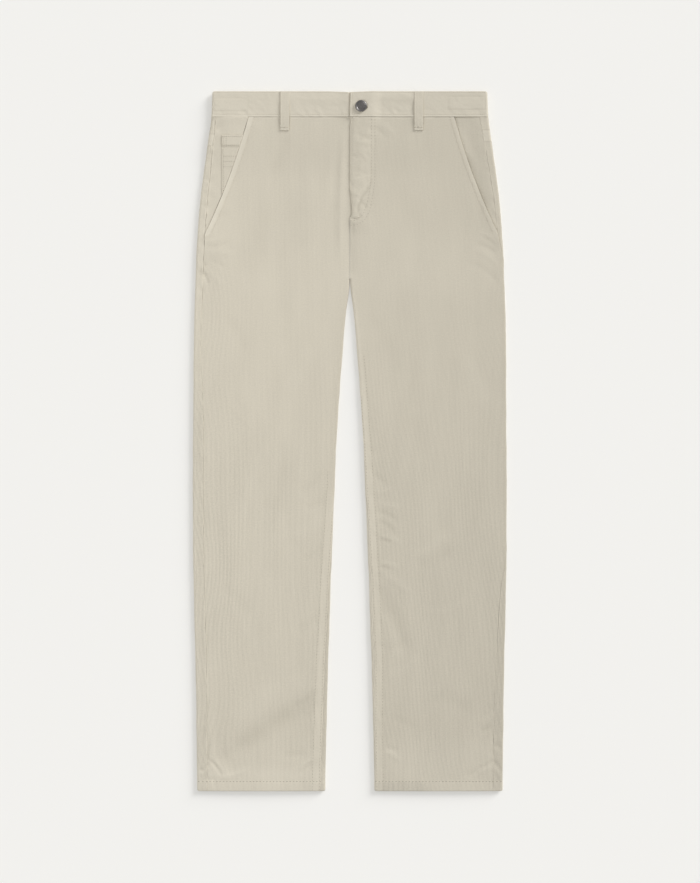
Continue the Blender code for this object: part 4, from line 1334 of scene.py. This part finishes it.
def loop_path(side):
    """The height of a front loop's face above the surface, from the panel up over the band."""
    across = np.array([LOOP_FRONT[side]])
    low = np.array([LOOP_BOTTOM])
    panel = front_point(side, low, place_of(across, low))[0, 2] + 0.0001 + LOOP_CLOTH
    band = LIFT + 2 * BAND_RADIUS + LOOP_CLOTH
    return (
        LoopStop(LOOP_BOTTOM - LOOP_EASE, panel),
        LoopStop(LOOP_BOTTOM, panel),
        LoopStop(LOOP_BOTTOM + LOOP_SEWN, panel + 0.0001),
        LoopStop((LOOP_BOTTOM + LOOP_SEWN + WAIST_SEAM) / 2, (panel + band + LOOP_RISE) / 2 + 0.0002),
        LoopStop(WAIST_SEAM, band + LOOP_RISE),
        LoopStop((WAIST_SEAM + LOOP_TOP) / 2, band + LOOP_RISE),
        LoopStop(LOOP_TOP - 2 * LOOP_SEWN, band + LOOP_RISE - 0.0004),
        LoopStop(LOOP_TOP - LOOP_SEWN, band - 0.0004),
        LoopStop(LOOP_TOP, band - 0.0006),
        LoopStop(LOOP_TOP + LOOP_EASE, band - 0.0006),
    )


def loop_point(side, height, across, path=None):
    """A point of a loop's face, at a width from its own middle."""
    edge = LOOP_WIDTH / 2 - np.abs(across)
    relief = roll(edge, 0.0003) + roll(height - LOOP_BOTTOM, 0.0003)
    relief = relief + roll(LOOP_TOP - height, 0.0004)
    relief = relief + 0.00010 * ripple(height + across, 0.005, 161)
    relief = relief - 0.00006 * bell(height - LOOP_BOTTOM - LOOP_TACK, 0.0009)
    tilt = -side * 0.00035 * across / LOOP_WIDTH * 2
    if path is None:
        level = LOOP_CLOTH + np.minimum(relief, 0.0)
        return np.stack([across, height - LENGTH / 2, level], axis=-1)
    level = read(path, "level", height) + relief + tilt * smooth((height - 0.982) / 0.02)
    x = side * (LOOP_FRONT[side] + across)
    return np.stack([x, height - LENGTH / 2, level], axis=-1)


def build_loop(name, side, path=None, middle=0.0):
    heights = rows_between((
        (LOOP_BOTTOM, 0.00012), (LOOP_BOTTOM + 0.0004, 0.0005),
        (LOOP_BOTTOM + 0.0020, 0.0009), (LOOP_TOP - 0.0020, 0.0005),
        (LOOP_TOP - 0.0004, 0.00012), (LOOP_TOP, 0.0),
    ))
    half = np.full_like(heights, LOOP_WIDTH / 2)
    across = columns(-half, half, 0.0050, 0.0050, 0.0010)
    height = np.broadcast_to(heights[:, None], across.shape)
    points = loop_point(side, height, across, path)
    points[..., 0] += middle
    grain = np.stack([across + 12.0 + 5 * middle, height, 0.45 + 0 * height], axis=-1)
    edge = LOOP_WIDTH / 2 - np.abs(across)
    wear_light_and_shade = 0.22 * bell(edge - 0.0010, 0.0010) + 0.12
    # Painted highlight on the folded lower end, and painted shade along the line of its tack.
    wear_light_and_shade = wear_light_and_shade + 0.30 * bell(height - LOOP_BOTTOM - 0.002, 0.0016)
    wear_light_and_shade = wear_light_and_shade - 0.10 * bell(height - LOOP_BOTTOM - LOOP_TACK, 0.0008)
    loop = cloth_shell(f"{name}_cloth", points, grain, wear_light_and_shade, LOOP_CLOTH, side)
    dress(loop, name)


for side in (RIGHT, LEFT):
    build_loop(f"belt_loop_front_{WORDS[side]}", side, loop_path(side))
    build_loop(f"belt_loop_back_{WORDS[side]}", LEFT, middle=side * LOOP_BACK)
build_loop("belt_loop_back_centre", LEFT)


# The stitching. Cotton thread in a darker and a paler shade; the darker one's depth of colour is partly
# painted shade, for the shadow in each stitch's hole. Each stitch is a short bead lying along its line,
# sunk a little in the pile. Bars of close stitches tack the front loops' lower ends and the fly.
PITCH = 0.0027
STITCH = 0.0017
THREAD = 0.00064
HEM_POINTS = 150
STRIP_POINTS = 12
SEAM_SIZES = {"pitch": 0.0046, "stitch_length": 0.0022, "thread_width": 0.0005}
FLY_SIZES = {"pitch": 0.0046, "stitch_length": 0.0022, "thread_width": 0.00042}
HEM_SIZES = {"pitch": 0.0048, "stitch_length": 0.0026, "thread_width": 0.0011}
TOP_SIZES = {"pitch": 0.0030, "stitch_length": 0.0017, "thread_width": 0.0008}


def stitching_nodes():
    """Beads of thread along every line of a mesh, one to a pitch, slightly uneven."""
    tree = bpy.data.node_groups.new("stitching", "GeometryNodeTree")
    tree.interface.new_socket(name="Lines", in_out="INPUT", socket_type="NodeSocketGeometry")
    for name, kind, default in (
        ("Pitch", "NodeSocketFloat", PITCH),
        ("Stitch Length", "NodeSocketFloat", STITCH),
        ("Thread Width", "NodeSocketFloat", THREAD),
        ("Slant", "NodeSocketFloat", 0.0),
        ("Unevenness", "NodeSocketFloat", 0.10),
        ("Seed", "NodeSocketInt", 1),
    ):
        socket = tree.interface.new_socket(name=name, in_out="INPUT", socket_type=kind)
        socket.default_value = default
    tree.interface.new_socket(name="Thread", in_out="INPUT", socket_type="NodeSocketMaterial")
    tree.interface.new_socket(name="Stitches", in_out="OUTPUT", socket_type="NodeSocketGeometry")
    given = tree.nodes.new("NodeGroupInput").outputs
    line = add_node(tree, "GeometryNodeMeshToCurve", {"Mesh": given["Lines"]}).outputs[0]
    spacing = {"Curve": line, "Length": given["Pitch"]}
    line = add_node(tree, "GeometryNodeResampleCurve", spacing, mode="LENGTH")
    ball = {"Segments": 6, "Rings": 4, "Radius": 0.5}
    bead = add_node(tree, "GeometryNodeMeshUVSphere", ball).outputs["Mesh"]
    size = add_node(tree, "ShaderNodeCombineXYZ", {
        0: given["Stitch Length"], 1: given["Thread Width"],
        2: maths(tree, "MULTIPLY", given["Thread Width"], 0.8),
    }).outputs[0]
    bead = add_node(tree, "GeometryNodeTransform", {"Geometry": bead, "Scale": size}).outputs[0]
    tangent = add_node(tree, "GeometryNodeInputTangent").outputs[0]
    facing = add_node(tree, "FunctionNodeAlignRotationToVector", {"Vector": tangent}, axis="X")
    low = maths(tree, "SUBTRACT", 0.0, given["Unevenness"])
    sway = add_node(tree, "FunctionNodeRandomValue", {
        2: low, 3: given["Unevenness"], "Seed": given["Seed"],
    }, data_type="FLOAT").outputs[1]
    angle = maths(tree, "ADD", given["Slant"], sway)
    turn = {"Axis": (0.0, 0.0, 1.0), "Angle": angle}
    turned = add_node(tree, "FunctionNodeAxisAngleToRotation", turn)
    both = {0: facing.outputs[0], 1: turned.outputs[0]}
    facing = add_node(tree, "FunctionNodeRotateRotation", both, rotation_space="LOCAL")
    placed = add_node(tree, "GeometryNodeInstanceOnPoints", {
        "Points": line.outputs[0], "Instance": bead, "Rotation": facing.outputs[0],
    }).outputs[0]
    real = add_node(tree, "GeometryNodeRealizeInstances", {"Geometry": placed}).outputs[0]
    round_ = add_node(tree, "GeometryNodeSetShadeSmooth", {"Geometry": real}).outputs[0]
    painting = {"Geometry": round_, "Material": given["Thread"]}
    painted = add_node(tree, "GeometryNodeSetMaterial", painting)
    add_node(tree, "NodeGroupOutput", {0: painted.outputs[0]})
    return tree


def thread_material(name, dark, light):
    """Spun cotton: twisted yarn with a low sheen."""
    material, tree, shader = new_material(name, Roughness=0.62, Sheen_Weight=0.15)
    place = add_node(tree, "ShaderNodeTexCoord").outputs["Object"]
    tint = noise_on(tree, place, (700.0, 700.0, 700.0))
    tree.links.new(blend_colours(tree, tint, dark, light), shader.inputs["Base Color"])
    ply = noise_on(tree, place, (2400.0, 2400.0, 2400.0))
    bump_on(tree, shader, ply, 0.5, 0.00012)
    return material


STITCHING = stitching_nodes()
# The darker thread is partly painted shade: it stands in for the shadow in the stitches' holes.
DARK_THREAD_AS_SHADE = thread_material("dark_thread", (0.27, 0.24, 0.18, 1), (0.42, 0.38, 0.30, 1))
PALE_THREAD = thread_material("pale_thread", (0.55, 0.50, 0.405, 1), (0.69, 0.635, 0.525, 1))


def sew(name, lines, seed, thread=DARK_THREAD_AS_SHADE, **sizes):
    """Lays stitches along lines of points and joins them in one piece.

    A size is given by the name of its input: pitch, stitch_length, thread_width, slant, unevenness.
    """
    starts = np.cumsum([0] + [len(line) for line in lines])
    edges = []
    for start, line in zip(starts, lines):
        edges += [(start + i, start + i + 1) for i in range(len(line) - 1)]
    mesh = bpy.data.meshes.new(f"{name}_lines")
    mesh.from_pydata(np.concatenate(lines).tolist(), edges, [])
    guide = add_object(f"{name}_lines", mesh)
    made = guide.modifiers.new("stitching", "NODES")
    made.node_group = STITCHING
    values = {"seed": seed, "thread": thread, **sizes}
    for item in STITCHING.interface.items_tree:
        key = item.name.lower().replace(" ", "_")
        if key in values:
            made[item.identifier] = values[key]
    sewn = made_mesh(guide)
    if sewn.materials[0] is None:
        sewn.materials.pop(index=0)
    stitches = add_object(name, sewn)
    bpy.data.objects.remove(guide)
    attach(stitches, "root")
    return stitches


def raised(points, amount=0.00020):
    """Lifts a line off the cloth, so that its stitches show."""
    points = np.array(points)
    points[:, 2] += amount
    return points


def up_the_leg(side, place_at, low, high):
    """A line up a front at a place that follows a seam."""
    height = np.linspace(low, high, round((high - low) / 0.003))
    return raised(front_point(side, height, place_at(height)))


def slant_line(side):
    """The line of stitching beside a slant pocket's edge."""
    height = np.linspace(POCKET_END + 0.004, WAIST_SEAM - 0.001, 90)
    x = side * (opening(side, height) - POCKET_STITCH[side])
    return raised(on_front(side, np.stack([x, height], axis=1)))


def hem_lines(side):
    """The hem's line of stitching over the front, and the short run of it on the back's strip."""
    height = np.full(HEM_POINTS, HEM_STITCH)
    over = seam_place(side, "out", height)
    end = half_girth(height) - over
    start = inner_start(side, height) + 0.0005
    place = start + (end - start) * np.linspace(0, 1, HEM_POINTS)
    height_back, over, end = height[:STRIP_POINTS], over[:STRIP_POINTS], end[:STRIP_POINTS]
    place_back = np.linspace(0, 1, STRIP_POINTS) * (over - QUARTER) + end + SEAM_GAP
    across, level = ring(height_back, place_back)[:2]
    strip = np.stack([side * across, height_back - LENGTH / 2, level + 0.0003], axis=-1)
    return [raised(front_point(side, height, place), 0.00002), strip]


for side in (RIGHT, LEFT):
    word = WORDS[side]
    sew(f"stitches_pocket_{word}", [slant_line(side)], seed=2, thread=PALE_THREAD)
    inseam = [
        up_the_leg(side, lambda h: inner_start(side, h) + FELL[side], 0.002, FELL_TOP[side]),
        up_the_leg(side, lambda h: inner_start(side, h) + 0.0018, 0.002, FELL_TOP[side] - 0.06),
    ]
    sew(f"stitches_inseam_{word}", inseam, seed=3, **SEAM_SIZES)
    sew(f"stitches_hem_{word}", hem_lines(side), seed=4, **HEM_SIZES)

fly_lines = [raised(on_front(LEFT, fly_outer)), raised(on_front(LEFT, fly_inner))]
fly_heights = np.linspace(0.853, WAIST_SEAM - 0.002, 60)
fly_edge = raised(front_point(LEFT, fly_heights, inner_start(LEFT, fly_heights) + FLY_EDGE_STITCH))
sew("stitches_fly", fly_lines, seed=5, **FLY_SIZES)
sew("stitches_fly_edge", [fly_edge], seed=12, thread=PALE_THREAD)


def coin_row(height, begun_at, margin):
    """A line across the coin pocket, from its hidden side as it is at one height."""
    across = np.linspace(coin_inner(begun_at) + 0.001, COIN_OUTER - margin, 30)
    return coin_point(across, np.full(30, height))


def coin_column(margin, low, count):
    """A line up the coin pocket to its top."""
    heights = np.linspace(low, COIN_TOP - 0.002, count)
    return coin_point(np.full(count, COIN_OUTER - margin), heights)


coin_lines = [
    coin_row(COIN_TOP - 0.0020, COIN_TOP, 0.001),
    coin_row(COIN_HEM + 0.0014, COIN_HEM, 0.001),
    coin_column(0.0018, COIN_BOTTOM + 0.002, 60),
    coin_column(0.0062, COIN_HEM, 20),
]
coin_lines += [coin_row(height, height, 0.003) for height in (0.9345, 0.9265, 0.9190)]
sew("stitches_coin_pocket", [raised(line, 0.00005) for line in coin_lines], seed=6)

band_lines, band_tops = [], []
for side in (RIGHT, LEFT):
    start = 0.001 if side == RIGHT else BAND_END_STITCH
    along = np.linspace(start, 0.198, 130)
    band_lines.append(raised(band_point(side, np.full(130, BAND_LOW_STITCH), along)))
    band_tops.append(raised(band_point(side, np.full(130, BAND_TOP_STITCH), along)))
end_heights = np.linspace(BAND_LOW_STITCH, BAND_TOP_STITCH, 24)
band_lines.append(raised(band_point(LEFT, end_heights, np.full(24, BAND_END_STITCH))))
sew("stitches_waistband", band_lines, seed=7, thread=PALE_THREAD)
sew("stitches_waistband_top", band_tops, seed=11, thread=PALE_THREAD, **TOP_SIZES)

loop_lines = []
for side in (RIGHT, LEFT):
    path = loop_path(side)
    for sign in (-1, 1):
        across = np.full(40, sign * (LOOP_WIDTH / 2 - LOOP_LINE))
        loop_height = np.linspace(LOOP_BOTTOM + 0.005, LOOP_TOP - 0.003, 40)
        loop_lines.append(raised(loop_point(side, loop_height, across, path), 0.00002))
sew("stitches_loops", loop_lines, seed=8, thread=PALE_THREAD, thread_width=0.0004)

bars = []
for side in (RIGHT, LEFT):
    path = loop_path(side)
    across = np.linspace(-0.0052, 0.0052, 14)
    tack = loop_point(side, np.full(14, LOOP_BOTTOM + LOOP_TACK), across, path)
    bars.append(raised(tack, 0.0001))
bars.append(raised(on_front(LEFT, route(((0.0060, 0.8430), (0.0150, 0.8446)), 0.0015)), 0.0001))
sew(
    "stitches_bars", bars, seed=9, thread=PALE_THREAD,
    pitch=0.00055, stitch_length=0.0015, slant=math.pi / 2 - 0.15, unevenness=0.25,
)


# The buttonhole's edge. Close stitches of the darker thread are laid across the two sides of the slot
# and draw together at its outer end. None are laid round the eye, which the button covers.
RIM_POINTS = 16
RIM_REACH = 0.0011
hole_middle = BUTTON_HEIGHT - SLOT_DROP
hole_end = BUTTON_ACROSS + SLOT_LENGTH
rim = [(hole_end + 0.0008, hole_middle - 0.0004)]
rim += [(x, hole_middle - RIM_REACH) for x in np.linspace(hole_end, BUTTON_ACROSS + 0.004, RIM_POINTS)]
rim += [(x, hole_middle + RIM_REACH) for x in np.linspace(BUTTON_ACROSS + 0.004, hole_end, RIM_POINTS)]
rim += [(hole_end + 0.0008, hole_middle + 0.0004)]
rim = np.array(rim)
rim_line = raised(band_point(LEFT, rim[:, 1], rim[:, 0]), 0.00015)
sew(
    "stitches_buttonhole", [rim_line[:RIM_POINTS + 1], rim_line[RIM_POINTS + 1:]], seed=10,
    pitch=0.00060, stitch_length=0.0020, slant=math.pi / 2, unevenness=0.22,
)


# The button. A stamped metal shank button in dark gunmetal: a dished plain face inside a rolled rim, a
# narrow waist and a post that passes through the buttonhole.
BUTTON_SEAT = LIFT + 2 * BAND_RADIUS + BAND_LAP
RIM_LEVEL = 0.0026
LATHE_STEPS = 72
Turned = namedtuple("Turned", "radius level")
BUTTON_PROFILE = (
    Turned(0.00000, 0.00195), Turned(0.00200, 0.00198), Turned(0.00420, 0.00206),
    Turned(0.00560, 0.00214), Turned(0.00600, 0.00222), Turned(0.00618, 0.00252),
    Turned(0.00640, 0.00282), Turned(0.00680, 0.00300), Turned(0.00730, 0.00306),
    Turned(0.00780, 0.00300), Turned(0.00822, 0.00278), Turned(0.00850, 0.00244),
    Turned(0.00860, 0.00200), Turned(0.00856, 0.00160), Turned(0.00835, 0.00122),
    Turned(0.00780, 0.00085), Turned(0.00600, 0.00066), Turned(0.00260, 0.00040),
    Turned(0.00160, 0.00010), Turned(0.00160, -0.00240), Turned(0.00130, -0.00262),
    Turned(0.00000, -0.00266),
)


def gunmetal():
    """Dark plated brass, faintly clouded, with one even tone on the rim."""
    material, tree, shader = new_material("gunmetal", Metallic=1.0)
    place = add_node(tree, "ShaderNodeTexCoord").outputs["Object"]
    cloud = noise_on(tree, place, (420.0, 420.0, 420.0), 4.0)
    fine = noise_on(tree, place, (3000.0, 3000.0, 3000.0), 2.0)
    colour = blend_colours(tree, cloud, (0.16, 0.15, 0.145, 1), (0.30, 0.285, 0.275, 1))
    level = add_node(tree, "ShaderNodeSeparateXYZ", {0: place}).outputs[2]
    over_face = maths(tree, "SUBTRACT", level, BUTTON_SEAT + RIM_LEVEL)
    high = maths(tree, "MULTIPLY", over_face, 1800.0)
    high = add_node(tree, "ShaderNodeClamp", {"Value": high}).outputs[0]
    colour = blend_colours(tree, high, colour, (0.25, 0.24, 0.232, 1))
    tree.links.new(colour, shader.inputs["Base Color"])
    rough = maths(tree, "MULTIPLY_ADD", fine, 0.18, 0.30)
    tree.links.new(rough, shader.inputs["Roughness"])
    bump_on(tree, shader, fine, 0.25, 0.00008)
    return material


turned_points = [(row.radius, 0.0, row.level) for row in BUTTON_PROFILE]
turned_mesh = bpy.data.meshes.new("button_metal")
turned_mesh.from_pydata(turned_points, [(i, i + 1) for i in range(len(turned_points) - 1)], [])
button_line = add_object("button_line", turned_mesh)
lathe = button_line.modifiers.new("turned", "SCREW")
lathe.steps = lathe.render_steps = LATHE_STEPS
lathe.use_merge_vertices = True
lathe.merge_threshold = 0.00001
button_mesh = made_mesh(button_line)
button_mesh.transform(Matrix.Translation((BUTTON_ACROSS, BUTTON_HEIGHT - LENGTH / 2, BUTTON_SEAT)))
button_mesh.shade_smooth()
button = add_object("button_metal", button_mesh)
bpy.data.objects.remove(button_line)
button.data.materials.append(gunmetal())
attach(button, "root")
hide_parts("button")


# The table and the light: a pale matt surface, a low soft sun from beyond the wearer's left shoulder, a
# softbox over the right leg that leaves the table out, an overhead sun for the table alone, the even
# light of a white room, and a camera straight above.
FLOOR_SIDE = 6.0
FLOOR_COLOUR = (0.881, 0.873, 0.845, 1.0)
FLOOR_GLOW = 0.10


def pale_table():
    """A matt white. A share of what is seen of it is a plain glow, so that the shadow stays light."""
    material, tree, shader = new_material("table_top", Base_Color=FLOOR_COLOUR, Roughness=0.9)
    shader.inputs["Specular IOR Level"].default_value = 0.0
    rays = add_node(tree, "ShaderNodeLightPath").outputs
    seen = maths(tree, "MAXIMUM", rays["Is Camera Ray"], rays["Is Glossy Ray"])
    seen = maths(tree, "MAXIMUM", seen, rays["Is Transmission Ray"])
    seen = maths(tree, "MULTIPLY", seen, FLOOR_GLOW)
    plain = add_node(tree, "ShaderNodeEmission", {"Color": FLOOR_COLOUR, "Strength": 1.0}).outputs[0]
    mixed = add_node(tree, "ShaderNodeMixShader", {0: seen, 1: shader.outputs[0], 2: plain}).outputs[0]
    tree.links.new(mixed, tree.nodes["Material Output"].inputs["Surface"])
    return material


bpy.ops.mesh.primitive_plane_add(size=FLOOR_SIDE, location=(0.0, 0.0, -0.0002))
table = bpy.context.object
table.name = "table_top"
table.data.materials.append(pale_table())

ROOM_LIGHT = 0.44
KEY_LIGHT = 0.270
SOFTBOX_LIGHT = 0.30
world = bpy.data.worlds.new("room")
world.use_nodes = True
background = world.node_tree.nodes["Background"]
background.inputs["Color"].default_value = (1.0, 1.0, 1.0, 1.0)
background.inputs["Strength"].default_value = ROOM_LIGHT
bpy.context.scene.world = world


def lamp(name, kind, place):
    """A light at a place, aimed at the middle of the trousers."""
    made = add_object(name, bpy.data.lights.new(name, kind))
    made.location = place
    made.rotation_euler = (-Vector(place)).to_track_quat("-Z", "Y").to_euler()
    made.visible_camera = False
    return made


def light_only(made, name, lit, state):
    """Keeps a lamp to some objects, or away from them."""
    group = bpy.data.collections.new(name)
    for obj in lit:
        group.objects.link(obj)
    made.light_linking.receiver_collection = group
    for entry in group.collection_objects:
        entry.light_linking.link_state = state


KEY_ELEVATION = math.radians(19.5)
KEY_TURN = math.radians(41.0)
KEY_SOFTNESS = math.radians(28.0)
key_way = (
    math.cos(KEY_ELEVATION) * math.cos(KEY_TURN),
    math.cos(KEY_ELEVATION) * math.sin(KEY_TURN),
    math.sin(KEY_ELEVATION),
)
key = lamp("key", "SUN", key_way)
key.data.energy = KEY_LIGHT * math.pi / math.sin(KEY_ELEVATION)
key.data.angle = KEY_SOFTNESS

SOFTBOX_PLACE = Vector((-0.90, -0.10, 1.20))
SOFTBOX_SIZE = 0.7
softbox = lamp("softbox", "AREA", SOFTBOX_PLACE)
softbox.data.shape = "DISK"
softbox.data.size = SOFTBOX_SIZE
softbox.data.energy = SOFTBOX_LIGHT * math.pi**2 * SOFTBOX_PLACE.length**3 / SOFTBOX_PLACE.z
light_only(softbox, "softbox_leaves_table", [table], "EXCLUDE")

OVERHEAD_SOFTNESS = math.radians(6.0)
overhead = lamp("overhead", "SUN", (0.0, 0.0, 1.0))
overhead.data.energy = SOFTBOX_LIGHT * math.pi
overhead.data.angle = OVERHEAD_SOFTNESS
light_only(overhead, "overhead_lights_table", [table], "INCLUDE")

CAMERA_LENS = 100.0
CAMERA_PLACE = (0.0002, -0.0003, 3.6155)
camera_data = bpy.data.cameras.new("camera")
camera_data.lens = CAMERA_LENS
camera_data.sensor_width = 36.0
camera_data.clip_end = 20.0
camera = add_object("camera", camera_data)
camera.location = CAMERA_PLACE
bpy.context.scene.camera = camera
bpy.context.scene.view_settings.view_transform = "Standard"
